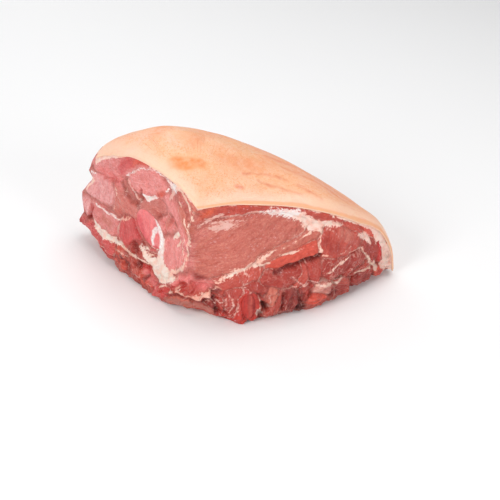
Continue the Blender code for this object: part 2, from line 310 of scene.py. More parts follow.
def rind_surface(turn, out):
    """The rind: the outlines blended round the corner, crowned, and tucked in along the cuts."""
    long_reach, long_height = along_outline(LONG_TOP, out)
    arm_reach, arm_height = along_outline(ARM_TOP, out)
    x, y = footprint(turn, long_reach, arm_reach)
    _, behind_arm_cut = arm_place(x, y)
    turned = ease(turn)
    crown = CROWN_LEFT + (1 - CROWN_LEFT) * fall(x, CROWN_END, CROWN_FALL)
    crown = crown * dome(behind_arm_cut / CROWN_BEHIND_ARM_CUT) * dome(y / CROWN_BEHIND_LONG_CUT)
    crown = crown * dome((1 - out) / CROWN_FROM_RIM)
    long_out = tucked(LONG_TUCK, y, out) * (1 - turned)
    arm_out = tucked(ARM_TUCK, behind_arm_cut, out) * turned
    long_side, long_rise = along_outline(LONG_NORMALS, out)
    arm_side, arm_rise = along_outline(ARM_NORMALS, out)
    height = cross_fade(turned, long_height, arm_height)
    height = height + CROWN_HEIGHT * crown + long_out * long_rise + arm_out * arm_rise
    x = x + long_out * long_side + arm_out * arm_side * ARM_WAY[0]
    y = y + arm_out * arm_side * ARM_WAY[1]
    return np.stack([x, y, height], -1)


# %% The rib side, with its torn lower edge
Lift = namedtuple("Lift", "height start run")
RIM_LIFT = Lift(12.0, 0.86, 0.14)
FAR_LIFT = Lift(17.0, 95, 80)
RIGHT_LIFT = Lift(6.0, 110, 60)
CORNER_LIFT, CORNER_LIFT_REACH = 9.0, 40.0
TORN_EDGE, TORN_START, TORN_REACH = 3.0, 20.0, 22.0
TORN_WAVES = ((1.0, 6.1, 0.0), (0.7, 3.7, 1.0), (0.5, 2.3, 2.0))
TORN_CREST = 1.6
RIM_BEND = 6


def torn(distance):
    """Uneven lift of the torn lower edge along a cut."""
    waves = sum(share * np.sin(distance / length + shift) for share, length, shift in TORN_WAVES)
    return TORN_EDGE * np.clip(waves / TORN_CREST, 0, None) * ease(distance / TORN_START)


def lifted(lift, place):
    """A height that rises from its start over its run."""
    return lift.height * rise(place, lift.start, lift.run)


def rib_side_surface(turn, out):
    """The underside: flat where the meat stands, lifted at the near corner, the ends and the rim."""
    x, y = footprint(turn, out * LONG_TOP[-1, 0], out * ARM_TOP[-1, 0])
    rim = rind_surface(turn[:, -1:], out[:, -1:])
    x = x + out**RIM_BEND * (rim[..., 0] - x[:, -1:])
    y = y + out**RIM_BEND * (rim[..., 1] - y[:, -1:])
    arm_run, behind_arm_cut = arm_place(x, y)
    near_long_cut = ease(1 - y / TORN_REACH)
    near_arm_cut = ease(1 - behind_arm_cut / TORN_REACH)
    height = CORNER_LIFT * fall(np.hypot(x, y), CORNER_LIFT_REACH, CORNER_LIFT_REACH)
    height = height + near_long_cut * (torn(x) + lifted(RIGHT_LIFT, x))
    height = height + near_arm_cut * (torn(arm_run) + lifted(FAR_LIFT, arm_run))
    height = height + lifted(RIM_LIFT, out) * (1 - near_long_cut) * (1 - near_arm_cut)
    return np.stack([x, y, height], -1)


# %% The belly of the cuts, and the wavy left edge of the arm cut
Belly = namedtuple("Belly", "size rise end fall depth")
LONG_BELLY = Belly(30.0, 45, 212, 100, 45)
ARM_BELLY = Belly(8.0, 50, 175, 60, 40)
BELLY_TOP = 115.0
BELLY_PROFILE = np.array(((0, 0.78), (0.12, 0.95), (0.35, 1.0), (0.6, 0.62), (0.8, 0.28), (1.0, 0.0)))
ARM_BELLY_TOP, ARM_BELLY_FALL = 55.0, 50.0
LEAN_BACK, LEAN_TOP, LEAN_FALL, LEAN_REACH = (-6.0, 3.0), 118.0, 24.0, 30.0
ARM_EDGE = np.array((
    (0, 0), (14, 1), (20, 2.5), (27, -1), (33, -4.5), (40, -2), (46, 0.5), (55, 2.5),
    (62, -1), (68, -3), (73, -6), (78, -7), (84, 1.5), (90, 0),
))
ARM_EDGE_START, ARM_EDGE_RUN, ARM_EDGE_DEPTH = 125.0, 40.0, 16.0


def swelling(shape, run, behind):
    """How far a cut bellies out: nothing at its two ends, and less and less behind it."""
    size = shape.size * ease(run / shape.rise) * fall(run, shape.end, shape.fall)
    return size * np.exp(-np.clip(behind, 0, None) / shape.depth)


def belly(points):
    """Bends the cuts: the lower flesh bellies out, and the near edge leans back in its middle."""
    x, y, z = np.moveaxis(points, -1, 0)
    arm_run, behind = arm_place(x, y)
    long_out = swelling(LONG_BELLY, x, y) * np.interp(z / BELLY_TOP, *BELLY_PROFILE.T)
    arm_out = swelling(ARM_BELLY, arm_run, behind) * fall(z, ARM_BELLY_TOP, ARM_BELLY_FALL)
    lean = fall(z, LEAN_TOP, LEAN_FALL) * np.exp(-((np.hypot(x, y) / LEAN_REACH) ** 2))
    edge = np.interp(z, *ARM_EDGE.T) * rise(arm_run, ARM_EDGE_START, ARM_EDGE_RUN)
    edge = edge * np.exp(-((np.clip(behind, 0, None) / ARM_EDGE_DEPTH) ** 2))
    bent_x = x + ARM_OUTWARD[0] * arm_out + ARM_WAY[0] * edge + LEAN_BACK[0] * lean
    bent_y = y + ARM_OUTWARD[1] * arm_out + ARM_WAY[1] * edge - long_out + LEAN_BACK[1] * lean
    return np.stack([bent_x, bent_y, z], -1)


# %% Where the rind was trimmed off, at the back near the arm cut
TRIMMED, TRIM_START = 0.37, 0.72


def rind_reach(turn):
    """How far out the rind goes: all the way down, except near the arm cut, where it was trimmed."""
    return 1 - TRIMMED * rise(turn, TRIM_START, 1 - TRIM_START)


# %% Normals of a grid, for laying the rind over the flesh
def surface_normals(grid):
    """Outward normals of a grid of points whose rows turn from the long cut to the arm cut."""
    down_rows = np.gradient(grid, axis=0)
    along_rows = np.gradient(grid, axis=1)
    normal = np.cross(along_rows, down_rows)
    length = np.linalg.norm(normal, axis=-1, keepdims=True)
    normal = np.where(length > 1e-9, normal / np.maximum(length, 1e-9), (0, 0, 1))
    normal[:, 0] = (0, 0, 1)
    for row, outward in ((0, LONG_OUTWARD), (-1, ARM_OUTWARD)):
        across = normal[row, :, 0] * outward[0] + normal[row, :, 1] * outward[1]
        normal[row, :, :2] -= across[:, None] * outward
        normal[row] /= np.linalg.norm(normal[row], axis=-1, keepdims=True)
    return normal


# %% [markdown]
# ## What the cuts show
# A butcher's cut runs across many muscles, each wrapped in a thin seam of fat.  They could be
# painted as an image, but a plan of tinted strings is easier to read and to change: each muscle,
# seam of fat, hollow, stain or patch of painted shade is a few discs joined by tapered strips, given
# by their distance from the near corner, their height and their radius.  The distance to a string,
# in millimetres, then serves for the relief of the mesh and for the colours of the shader.

# %% Colours of raw pork, as seen on a screen
TINTS = {
    "salmon": srgb(210, 110, 94), "strip": srgb(212, 110, 92), "rose": srgb(196, 73, 58),
    "coral": srgb(220, 84, 64), "brick": srgb(180, 56, 43), "dusk": srgb(152, 44, 34),
    "veil": srgb(186, 94, 82), "pale": srgb(220, 116, 96), "pink": srgb(236, 140, 135),
    "petal": srgb(242, 160, 157), "blush": srgb(238, 128, 124), "wine": srgb(216, 84, 82),
    "umber": srgb(212, 116, 104), "cream": srgb(252, 212, 194), "white": srgb(255, 238, 234),
    "lump": srgb(255, 232, 218), "silver": srgb(234, 182, 170), "apricot": srgb(246, 188, 168),
    "fat_pink": srgb(255, 218, 204), "gristle": srgb(206, 172, 162), "blood": srgb(200, 36, 28),
    # Painted shade: the three darkest tints on these two lines stand for the shade in hollows, grooves and
    # slits.
    "hollow": srgb(108, 28, 20), "rust": srgb(222, 84, 44), "groove": srgb(136, 38, 30),
    "ember": srgb(226, 96, 66), "gash": srgb(150, 34, 26), "flap": srgb(186, 112, 100),
    "gore": srgb(192, 50, 38), "dough": srgb(226, 156, 142),
}
Muscle = namedtuple("Muscle", "tint grain marbling string")
Fat = namedtuple("Fat", "tint string crisp", defaults=(1.0,))
Stain = namedtuple("Stain", "tint feather string")
Hollow = namedtuple("Hollow", "depth string")

# %% The long cut: muscles
# Each has a tint, the slope of its grain in degrees, its share of marbling, and its string.
LONG_MUSCLES = (
    Muscle("rose", -8, 0.1, ((26, 110, 4.5), (50, 110.5, 5), (75, 106, 4.5), (100, 101, 4.5),
        (125, 93.5, 4), (148, 84, 3))),
    Muscle("salmon", 28, 0.1, ((5, 56, 13), (18, 72, 20), (40, 84, 19.5), (65, 87, 15.5), (85, 87, 11),
        (97, 87, 6))),
    Muscle("strip", 18, 0.1, ((55, 64, 2.5), (75, 68, 3.5), (95, 73, 4.5), (110, 77, 3.5), (118, 78, 2))),
    Muscle("coral", 12, 0.0, ((64, 57.5, 1.5), (80, 60, 3.5), (100, 64, 5), (109, 65, 4.5))),
    Muscle("rose", 70, 0.2, ((129, 66, 12), (138, 64, 15), (151, 61, 12))),
    Muscle("rose", -40, 0.1, ((147, 79, 3.5), (158, 72, 5.5), (164, 66, 3))),
    Muscle("coral", -35, 0.0, ((153, 83, 2.2), (172, 70, 3), (185, 56, 3), (190, 47, 2.2))),
    Muscle("brick", -65, 0.1, ((178, 48, 7), (184, 38, 8), (187, 28, 6))),
    Muscle("brick", 20, 0.6, ((121, 44, 5), (134, 42, 8), (150, 37, 11), (166, 36, 7))),
    Muscle("brick", 5, 0.3, ((62, 45, 6), (80, 43, 8), (92, 46, 5))),
    Muscle("rose", 60, 0.2, ((90, 33, 3), (95, 40, 5.5), (98, 46, 4))),
    Muscle("brick", 75, 0.2, ((107, 38, 4), (108, 46, 6))),
    Muscle("rose", 60, 0.2, ((40, 51, 4), (49, 54, 4.5))),
    Muscle("rose", 50, 0.1, ((24, 40, 4), (33, 48, 4))),
    Muscle("brick", 80, 0.2, ((46, 41, 5), (56, 37, 4))),
    Muscle("dusk", 70, 0.2, ((20, 33, 1.5), (18, 24, 2), (20, 12, 2))),
    Muscle("rose", 60, 0.2, ((24, 30, 1.5), (22, 18, 2), (26, 8, 2))),
    Muscle("brick", 75, 0.2, ((34, 36, 2.5), (29, 26, 4), (30, 10, 3.5))),
    Muscle("gore", 84, 0.0, ((40, 38, 1.5), (38, 24, 3), (37, 4, 4))),
    Muscle("gore", 96, 0.0, ((44, 36, 2), (49, 22, 3), (50, 4, 3))),
    Muscle("pale", 75, 0.2, ((63, 34, 3), (68, 28, 4), (66, 20, 3))),
    Muscle("rose", 80, 0.2, ((72, 28, 3), (71, 16, 4), (66, 8, 4))),
    Muscle("dusk", 80, 0.2, ((84, 25, 7), (87, 12, 8))),
    Muscle("brick", 60, 0.3, ((100, 30, 5), (101, 20, 6))),
    Muscle("dough", 30, 0.2, ((108, 24, 2.5), (120, 23, 5.5), (133, 21, 5), (140, 24, 3))),
    Muscle("coral", 20, 0.1, ((108, 15, 5), (118, 12, 4))),
    Muscle("rose", -20, 0.2, ((136, 24, 5), (148, 18, 7), (152, 10, 5))),
    Muscle("brick", -15, 0.1, ((163, 14, 8), (180, 15, 8))),
    Muscle("rose", 0, 0.4, ((152, 25, 2.5), (178, 27, 4))),
    Muscle("rose", 60, 0.1, ((8, 26, 6), (20, 24, 6))),
    Muscle("veil", 10, 0.1, ((4, 8, 4), (20, 6, 4))),
    Muscle("coral", 0, 0.1, ((188, 16, 2), (197, 9, 3.5))),
)

# %% The long cut: fat
# Each has a tint, its string, and how crisp its edge is, 1 being the crispest.
LONG_FATS = (
    Fat("white", ((60, 104.5, 1.0), (75, 102, 2.8), (88, 98.5, 4.2), (97, 97, 3.8)), 0.42),
    Fat("fat_pink", ((93, 96, 4.0), (99, 94.5, 5.0), (106, 89.5, 5.2), (112, 86, 4)), 0.42),
    Fat("fat_pink", ((104, 87, 3.5), (113, 84, 3.8), (125, 83.5, 2.8), (138, 81, 2.4),
        (149, 75.5, 0.8)), 0.6),
    Fat("silver", ((104, 84, 1.2), (97, 79.5, 0.6), (90, 77, 0.0)), 0.5),
    Fat("cream", ((117, 84, 1), (120, 78, 1.4), (118, 73, 0.6)), 0.5),
    Fat("silver", ((126, 79, 0.6), (133, 76, 0.2)), 0.5),
    Fat("silver", ((25, 104.5, 0.7), (50, 104.5, 0.6), (78, 103, 1.0))),
    Fat("silver", ((8, 90, 0.8), (17, 94, 1.8), (28, 96.5, 3.6), (37, 97, 1.6)), 0.4),
    Fat("silver", ((6, 97, 0.6), (13, 101, 1.6), (20, 105, 2.4), (25, 107, 1.4)), 0.5),
    Fat("silver", ((17, 99, 0.4), (30, 101, 0.8), (46, 99, 0.3))),
    Fat("silver", ((39, 57, 0.3), (42, 51, 0.5), (41, 45, 0.2))),
    Fat("silver", ((53, 59, 0.3), (54, 52, 0.5), (51, 46, 0.3))),
    Fat("silver", ((86, 44, 0.3), (90, 38, 0.5), (97, 33, 0.6), (101, 40, 0.4))),
    Fat("silver", ((124, 56, 0.2), (140, 52, 0.3), (152, 56, 0.3))),
    Fat("cream", ((110, 30, 0.5), (122, 29, 1.8), (132, 25, 2.4), (140, 27, 1.4)), 0.5),
    Fat("cream", ((8, 28, 0.8), (16, 37, 0.8), (24, 47, 1.2), (33, 55.5, 2.2), (42, 60.5, 1.9),
        (50, 62, 2.2), (60, 66.5, 1.4)), 0.34),
    Fat("lump", ((20, 42, 0.2), (27, 50, 0.9), (36, 57, 1.1), (46, 61.5, 0.7)), 0.8),
    Fat("cream", ((60, 66.5, 1.3), (72, 69.5, 0.2), (86, 71.5, 0.0), (97, 76, 0.2), (108, 80, 1.2))),
    Fat("cream", ((44, 60, 1.2), (58, 59.5, 1.3), (64, 60, 0.6))),
    Fat("cream", ((75, 64.5, 0.5), (90, 65, 1.1), (98, 67, 0.4))),
    Fat("cream", ((119, 78, 0.6), (119.5, 73, 0.8), (115.5, 68, 1.0), (117.5, 62, 1.3), (115, 58, 1.5),
        (120, 55.5, 1.0), (129, 54, 0.4)), 0.8),
    Fat("cream", ((118, 40, 0.3), (128, 43, 0.6), (140, 44.5, 1.1), (149, 47, 0.4)), 0.7),
    Fat("cream", ((150, 50.5, 0.2), (168, 49, 0.9), (171, 44, 0.8), (174, 38, 1.1), (179, 31, 1.5),
        (186, 23, 2.0), (190, 17, 2.4)), 0.8),
    Fat("cream", ((157, 24.5, 0.6), (170, 22.5, 1.2), (181, 22.5, 1))),
    Fat("fat_pink", ((162, 63, 1.0), (170, 59.5, 4.0), (175, 55, 3.0), (180, 49, 0.8)), 0.6),
    Fat("fat_pink", ((178, 67, 1.5), (186, 60, 4.5), (192, 50, 5.5), (198, 40, 7), (202, 30, 7),
        (204, 20, 9.5), (208, 11, 6))),
    Fat("apricot", ((0, 19, 2.2), (6, 21, 2.4), (11, 24.5, 2.2), (16.5, 30, 1.6), (21, 36, 0.8)), 0.45),
    Fat("gristle", ((53.5, 14.5, 3), (55.5, 8, 3))),
    Fat("silver", ((37, 38, 0.4), (35, 26, 0.3), (34, 12, 0.5), (32, 5, 0.2))),
    Fat("silver", ((27, 34, 0.1), (31, 28, 0.4), (30, 16, 0.4), (27, 8, 0.2))),
    Fat("cream", ((51.5, 29, 0.3), (53, 20, 0.7), (52, 9, 0.5))),
    Fat("silver", ((26, 30, 0.2), (27, 20, 0.4), (26, 10, 0.2))),
    Fat("silver", ((61, 31, 0.3), (63, 22, 0.6), (61, 12, 0.4))),
    Fat("flap", ((0, 13, 2.0), (10, 11.5, 2.2), (20, 8, 2.0), (31, 4, 1.4))),
    Fat("cream", ((0, 31, 0.5), (6, 27, 0.8), (12, 28, 0.4)), 0.7),
    Fat("silver", ((2, 40, 0.2), (9, 36, 0.5), (14, 37, 0.2)), 0.7),
    Fat("silver", ((1, 22, 0.4), (8, 18, 0.6), (17, 15, 0.3)), 0.7),
    Fat("silver", ((78, 34, 0.6), (92, 33, 0.7), (107, 34, 0.8), (121, 33, 0.8))),
)

# %% The long cut: stains, and painted shade in its slits, grooves and hollows and under its overhang
# Each has a tint, how far it fades out in millimetres, and its string.
LONG_STAINS_AND_SHADE = (
    Stain("brick", 9.0, ((125, 68, 1), (131, 62, 2))),
    Stain("blood", 2.5, ((191, 46, 0.4), (192, 36, 0.6), (190, 26, 0.4))),
    Stain("salmon", 8.0, ((143, 72, 1), (152, 66, 1))),
    Stain("coral", 3.0, ((40, 114, 0.5), (70, 111, 0.5), (90, 107, 0.5), (110, 101.5, 0.5),
        (140, 90, 0.5))),
    Stain("rust", 1.4, ((197, 53, 0.6), (200, 46, 1.4), (202, 40, 0.8))),
    Stain("umber", 4.0, ((2, 84, 2), (8, 89, 2.5), (14, 91, 1))),
    Stain("ember", 8.0, ((-2, 100, 1), (4, 107, 1.5), (14, 112, 0.5))),
    Stain("dusk", 5.0, ((3, 46, 1), (10, 43, 1.5))),
    Stain("blush", 5.0, ((0, 29, 1.5), (7, 34, 2), (14, 38, 1))),
    Stain("gash", 2.0, ((0, 17.5, 0.4), (14, 16, 0.6), (27, 9.5, 0.4))),
    Stain("blood", 3.0, ((24, 6, 1), (30, 2, 1))),
    Stain("groove", 1.6, ((66, 49.5, 0.6), (80, 52, 1.0), (95, 53.5, 1.2), (107, 55, 1.2), (115, 57, 1.6))),
    Stain("hollow", 2.2, ((15, 20, 0.8), (20, 24.5, 0.6))),
    Stain("gash", 2.4, ((20, 25, 0.6), (21, 16, 1.0), (22, 8, 1.0))),
    Stain("hollow", 1.6, ((54, 22.5, 0.3), (58, 18.5, 0.8), (60, 12, 0.5))),
    Stain("hollow", 3.5, ((92, 6, 1.5), (100, 5, 1.5))),
    Stain("gash", 3.0, ((77, 22, 0.4), (77, 14, 0.6))),
    Stain("dusk", 2.5, ((131, 12, 2), (137, 11, 2))),
    Stain("dusk", 2.0, ((93, 32, 1), (100, 12, 1))),
)

# %% The long cut: hollows
# Each has a depth in millimetres and its string.
LONG_HOLLOWS = (
    Hollow(4.0, ((68, 50.5, 0.6), (90, 53, 0.8), (115, 56.5, 0.8))),
    Hollow(5.0, ((14, 18.5, 1.4), (21, 25, 0.8))),
    Hollow(4.0, ((19, 30, 0.4), (21, 16, 0.6), (22, 8, 0.8))),
    Hollow(6.0, ((54, 22, 0.3), (58, 18, 0.8), (60, 12, 0.6))),
    Hollow(4.0, ((93, 6, 1.5), (98, 22, 0.4))),
    Hollow(3.0, ((77, 26, 0.4), (77, 12, 0.6))),
    Hollow(2.5, ((104, 33, 0.4), (105, 18, 0.4))),
    Hollow(3.0, ((134, 17, 0.8), (130, 28, 0.4))),
    Hollow(2.5, ((155, 22, 0.4), (157, 8, 0.8))),
    Hollow(3.0, ((0, 17, 0.6), (14, 15.5, 0.8), (27, 9, 0.6))),
    Hollow(3.0, ((3, 35, 0.4), (9, 30, 0.6), (6, 24, 0.4))),
)

# %% The arm cut: muscles
ARM_MUSCLES = (
    Muscle("pale", 40, 0.1, ((3, 116, 3.5), (12, 122, 3.2), (20, 126, 2.5))),
    Muscle("umber", 32, 0.0, ((3, 104, 2), (12, 111, 3), (22, 116, 3))),
    Muscle("pale", 60, 0.1, ((5, 91, 3.5), (11, 99, 3), (20, 106, 3))),
    Muscle("pink", 60, 0.1, ((8, 76, 5), (14, 87, 6), (27, 96, 8), (43, 105, 6))),
    Muscle("pink", 55, 0.1, ((30, 88, 4), (38, 84, 6), (46, 79, 4))),
    Muscle("pink", 84, 0.1, ((11, 60, 9), (20, 61, 12.5), (30, 56, 12), (33, 47, 9))),
    Muscle("pink", -20, 0.2, ((54, 112, 9), (64, 114, 13), (78, 112, 14.5), (90, 106, 10), (96, 100, 5))),
    Muscle("umber", -25, 0.1, ((46, 99, 4), (55, 96, 5.5), (66, 89, 7), (78, 86, 4))),
    Muscle("pink", -25, 0.1, ((91, 124, 4), (104, 116, 8), (116, 108, 8), (124, 107, 8), (136, 104, 9),
        (150, 98, 7))),
    Muscle("petal", -75, 0.2, ((134, 74, 11), (149, 72, 13.5), (161, 68, 10))),
    Muscle("umber", 20, 0.1, ((115, 98, 2), (113, 88, 5), (117, 78, 8), (121, 64, 5))),
    Muscle("umber", 20, 0.1, ((94, 72, 6), (105, 75, 9), (113, 76, 8))),
    Muscle("veil", 30, 0.1, ((88, 86, 3), (98, 87, 4), (108, 91, 4))),
    Muscle("wine", 70, 0.1, ((92, 50, 8), (100, 46, 12), (107, 44, 8.5))),
    Muscle("pink", 5, 0.2, ((122, 42, 8), (142, 42, 9), (156, 42, 8))),
    Muscle("petal", -60, 0.1, ((166, 46, 5), (171, 42, 6))),
    Muscle("brick", 0, 0.2, ((66, 34, 3.5), (78, 34, 4), (88, 36, 4.5))),
    Muscle("blush", -35, 0.1, ((0, 40, 2.5), (12, 33, 3), (22, 25, 2))),
    Muscle("rose", -35, 0.1, ((0, 30, 4), (10, 24, 4), (20, 18, 3))),
    Muscle("pale", -20, 0.1, ((0, 17, 3), (14, 14, 3), (26, 10, 3))),
    Muscle("coral", 5, 0.2, ((58, 14, 7), (68, 13, 7))),
    Muscle("rose", 35, 0.3, ((80, 12, 6), (88, 17, 6))),
    Muscle("coral", 15, 0.2, ((100, 12, 5), (108, 18, 6))),
    Muscle("wine", 0, 0.1, ((117, 18, 4), (135, 19, 4.5), (155, 20, 4.5), (175, 20, 3))),
    Muscle("wine", 30, 0.1, ((34, 12, 4), (46, 8, 4))),
)

# %% The arm cut: fat
ARM_FATS = (
    Fat("lump", ((50, 42, 4.5), (48, 31, 9.5), (39, 28, 8.5), (25, 31, 3.5)), 0.6),
    Fat("lump", ((50, 32, 8), (60, 32.5, 5.5), (69, 35, 3.5), (79, 40, 1.2)), 0.5),
    Fat("white", ((45, 64, 1.6), (47, 53, 2.6), (49, 44, 4))),
    Fat("lump", ((106, 29, 1.8), (120, 27, 2.6), (135, 27, 3.6), (150, 29, 4.8), (160, 31.5, 3.2)), 0.8),
    Fat("cream", ((58, 29, 1.8), (68, 27, 1.4), (80, 26.5, 1.5), (94, 27, 1.8), (106, 28.5, 1.4))),
    Fat("lump", ((53, 51, 1.6), (61, 45.5, 2.0), (71, 41.5, 1.6), (83, 38, 0.6)), 0.45),
    Fat("cream", ((60, 40, 0.6), (69, 38, 1.0), (79, 37, 0.4)), 0.5),
    Fat("cream", ((160, 84, 0.4), (163, 77, 1.4), (166, 69, 1.6), (171, 61, 0.6))),
    Fat("silver", ((84, 79.5, 0.1), (96, 80.5, 0.3), (108, 80, 0.1))),
    Fat("apricot", ((90, 62, 0.4), (104, 58, 1.3), (113, 53.5, 1.6)), 0.5),
    Fat("white", ((113, 53, 0.8), (120, 51.5, 0.8), (138, 51, 0.9), (154, 51, 0.6))),
    Fat("silver", ((112, 56, 0.8), (116, 46, 1.0), (113, 36, 0.8), (106, 30, 0.6))),
    Fat("white", ((126, 89, 0.5), (136, 89, 0.9), (148, 88, 0.8), (160, 84.5, 0.9))),
    Fat("white", ((42, 118, 1), (47, 110, 0.8), (56, 102.5, 1), (64, 98.5, 1.8), (70, 96, 3),
        (77, 95.5, 2.2))),
    Fat("white", ((28, 127, 1.6), (34, 121, 3.4), (42, 127, 1.8)), 0.4),
    Fat("silver", ((36, 117, 2), (38, 110, 1))),
    Fat("cream", ((0, 101, 1), (6, 109, 1.3), (13, 117, 1.5), (22, 121.5, 1.8), (30, 124, 2.2))),
    Fat("cream", ((1, 88, 0.8), (6, 97, 1), (11, 104, 1.1), (18, 109.5, 1), (26, 112, 1.3))),
    Fat("cream", ((1, 60, 0.8), (2, 74, 0.8), (4, 86, 0.4))),
    Fat("cream", ((5, 46, 0.5), (6, 62, 0.3), (9, 70, 0.6), (8, 82, 0.3)), 0.7),
    Fat("silver", ((12, 50, 0.2), (10, 62, 0.4), (13, 70, 0.2))),
    Fat("cream", ((0, 76, 0.6), (2, 90, 0.8), (1, 104, 0.6), (4, 112, 0.4)), 0.6),
    Fat("silver", ((14, 88, 0.2), (11, 96, 0.5), (17, 103, 0.2))),
    Fat("cream", ((42, 66, 0.6), (45, 56, 1.0), (44, 46, 0.6))),
    Fat("lump", ((16, 83, 1.6), (21, 80, 2.6), (27, 74, 1.8))),
    Fat("cream", ((14, 77, 1.0), (17, 72, 1.6), (20, 68, 0.8))),
    Fat("cream", ((36, 96, 0.4), (42, 90, 0.6), (41, 82, 0.4))),
    Fat("cream", ((32, 34, 1.4), (20, 40, 1.7), (9, 50, 1.3), (2, 62, 1.0)), 0.6),
    Fat("cream", ((30, 40, 0.5), (22, 38, 1.0), (12, 46, 0.8))),
    Fat("white", ((43, 127, 0.8), (57, 128.5, 0.6), (71, 126.5, 0.7), (81, 122, 0.7), (91, 116, 0.7),
        (98, 110.5, 0.6), (105, 105, 1.1))),
    Fat("silver", ((107, 104, 0.8), (110.5, 99, 0.8), (108, 91, 0.9), (97, 83.5, 0.8), (82, 81.5, 0.6))),
    Fat("silver", ((100.5, 103, 0.8), (97, 96, 0.9), (90, 90.5, 0.7), (82, 86.5, 0.9), (74, 89, 0.5))),
    Fat("cream", ((118, 92, 0.4), (121, 80, 0.5), (124, 60, 0.5))),
    Fat("silver", ((55, 21, 1.2), (63, 22, 0.8), (70, 18, 0.6))),
    Fat("silver", ((118, 13, 0.7), (140, 14.5, 0.8), (156, 15, 0.7))),
    Fat("flap", ((0, 13, 2.0), (10, 12.5, 2.0), (20, 10, 2.0), (33, 6, 1.4))),
    Fat("cream", ((3, 31, 0.3), (12, 25, 0.7), (20, 23, 0.3)), 0.7),
    Fat("apricot", ((0, 19, 2.2), (8, 20, 2.4), (20, 22, 1.8), (28, 21.5, 0.8)), 0.5),
    Fat("cream", ((14, 37, 0.4), (22, 32, 0.9), (29, 28, 0.6)), 0.7),
    Fat("silver", ((66, 12, 0.3), (76, 9, 0.6), (86, 10, 0.3)), 0.6),
    Fat("cream", ((96, 21, 0.3), (106, 22, 0.6), (114, 20, 0.3)), 0.6),
    Fat("cream", ((22, 14, 1), (32, 19, 1.4), (42, 15, 1))),
)

# %% The arm cut: stains, and painted shade in its slits, grooves and hollows
ARM_STAINS_AND_SHADE = (
    Stain("blush", 4.0, ((64, 20, 1.5), (58, 18, 2.2), (50, 15, 1.5))),
    Stain("gash", 1.4, ((81.5, 99, 0.6), (82, 90.5, 1.0))),
    Stain("umber", 4.0, ((6, 104, 1), (16, 112, 2), (26, 118, 1))),
    Stain("veil", 3.5, ((105, 100, 0.4), (104, 93, 1), (97, 86, 1))),
    Stain("wine", 7.0, ((96, 124, 1), (108, 116, 2), (112, 106, 1))),
    Stain("coral", 4.0, ((74, 131, 1), (88, 126, 1), (99, 119, 1))),
    Stain("coral", 4.0, ((48, 110, 1), (56, 106, 1))),
    Stain("wine", 5.0, ((86, 64, 1), (92, 58, 2))),
    Stain("blush", 9.0, ((114, 94, 2), (126, 95, 2), (146, 92, 1))),
    Stain("wine", 5.0, ((98, 121, 1), (108, 114, 1.5), (114, 106, 1))),
    Stain("umber", 5.0, ((130, 42, 2), (140, 42, 2))),
    Stain("veil", 2.5, ((87, 83, 1), (98, 80.5, 1.5), (107, 86, 1.5), (111, 94, 1.5))),
    Stain("blood", 1.5, ((160, 44, 0.6), (164, 38, 1), (170, 31, 0.8))),
    Stain("blood", 1.6, ((22, 24, 0.8), (30, 18, 1), (42, 10, 1.2))),
    Stain("gore", 5.0, ((2, 27, 1.5), (10, 31, 1))),
    Stain("gash", 2.0, ((0, 17.5, 0.4), (14, 17, 0.6), (30, 11, 0.4))),
    Stain("gash", 2.0, ((60, 17, 0.3), (68, 10, 0.5), (64, 4, 0.3))),
    Stain("gash", 2.0, ((104, 12, 0.3), (110, 16, 0.5), (114, 12, 0.3))),
    Stain("blood", 1.6, ((112, 10, 0.8), (130, 9, 0.9), (150, 9.5, 1), (158, 11, 0.8))),
    Stain("blood", 1.5, ((160, 12, 0.6), (180, 17, 0.8))),
    Stain("wine", 1.5, ((57, 47, 0.2), (66, 43.5, 0.2))),
    Stain("blood", 2.0, ((60, 25, 1), (70, 23, 0.8))),
    Stain("gash", 2.4, ((73, 22, 0.5), (80, 20, 0.8))),
    Stain("groove", 3.0, ((93, 14, 1.0), (99, 16, 0.8), (105, 18.5, 0.6))),
    # Painted shade: the dusk mark below darkens the hollow that it lies in.
    Stain("dusk", 3.5, ((88, 37.5, 1), (84, 33, 0.6))),
    Stain("veil", 3.5, ((23, 89, 0.6), (28, 92, 0.8), (35, 95, 0.4))),
    Stain("umber", 5.0, ((36, 88, 1), (42, 80, 1))),
    Stain("umber", 6.0, ((58, 90, 2), (74, 84, 1))),
)

# %% The arm cut: hollows
ARM_HOLLOWS = (
    Hollow(4.5, ((81.5, 98, 0.2), (82, 90.5, 0.8))),
    Hollow(3.0, ((8, 106, 0.4), (18, 114, 0.8), (27, 119, 0.4))),
    Hollow(3.0, ((30, 92, 0.4), (36, 80, 0.6))),
    Hollow(3.5, ((62, 86, 0.6), (48, 82, 0.6), (42, 70, 0.6))),
    Hollow(4.0, ((92, 62, 0.6), (88, 52, 0.8), (78, 45, 0.6))),
    Hollow(3.0, ((87, 82, 0.8), (98, 80, 1.0), (107, 88, 1.0))),
    Hollow(3.5, ((88, 37, 1), (86, 33, 0.6))),
    Hollow(3.5, ((74, 22, 0.8), (80, 20, 0.8))),
    Hollow(4.0, ((91, 15, 1.0), (100, 14, 0.8))),
    Hollow(2.5, ((118, 40, 0.4), (119, 26, 0.4))),
    Hollow(3.0, ((159, 46, 0.4), (166, 36, 0.6), (170, 31, 0.4))),
    Hollow(2.5, ((112, 96, 0.4), (128, 90, 0.4))),
    Hollow(3.0, ((4, 34, 0.4), (16, 26, 0.6), (24, 18, 0.4))),
    Hollow(3.0, ((0, 17, 0.6), (14, 16.5, 0.8), (30, 10.5, 0.6))),
    Hollow(2.5, ((60, 17, 0.3), (68, 10, 0.6), (64, 4, 0.3))),
)
print(len(LONG_MUSCLES), "muscles in the long cut and", len(ARM_MUSCLES), "in the arm cut")

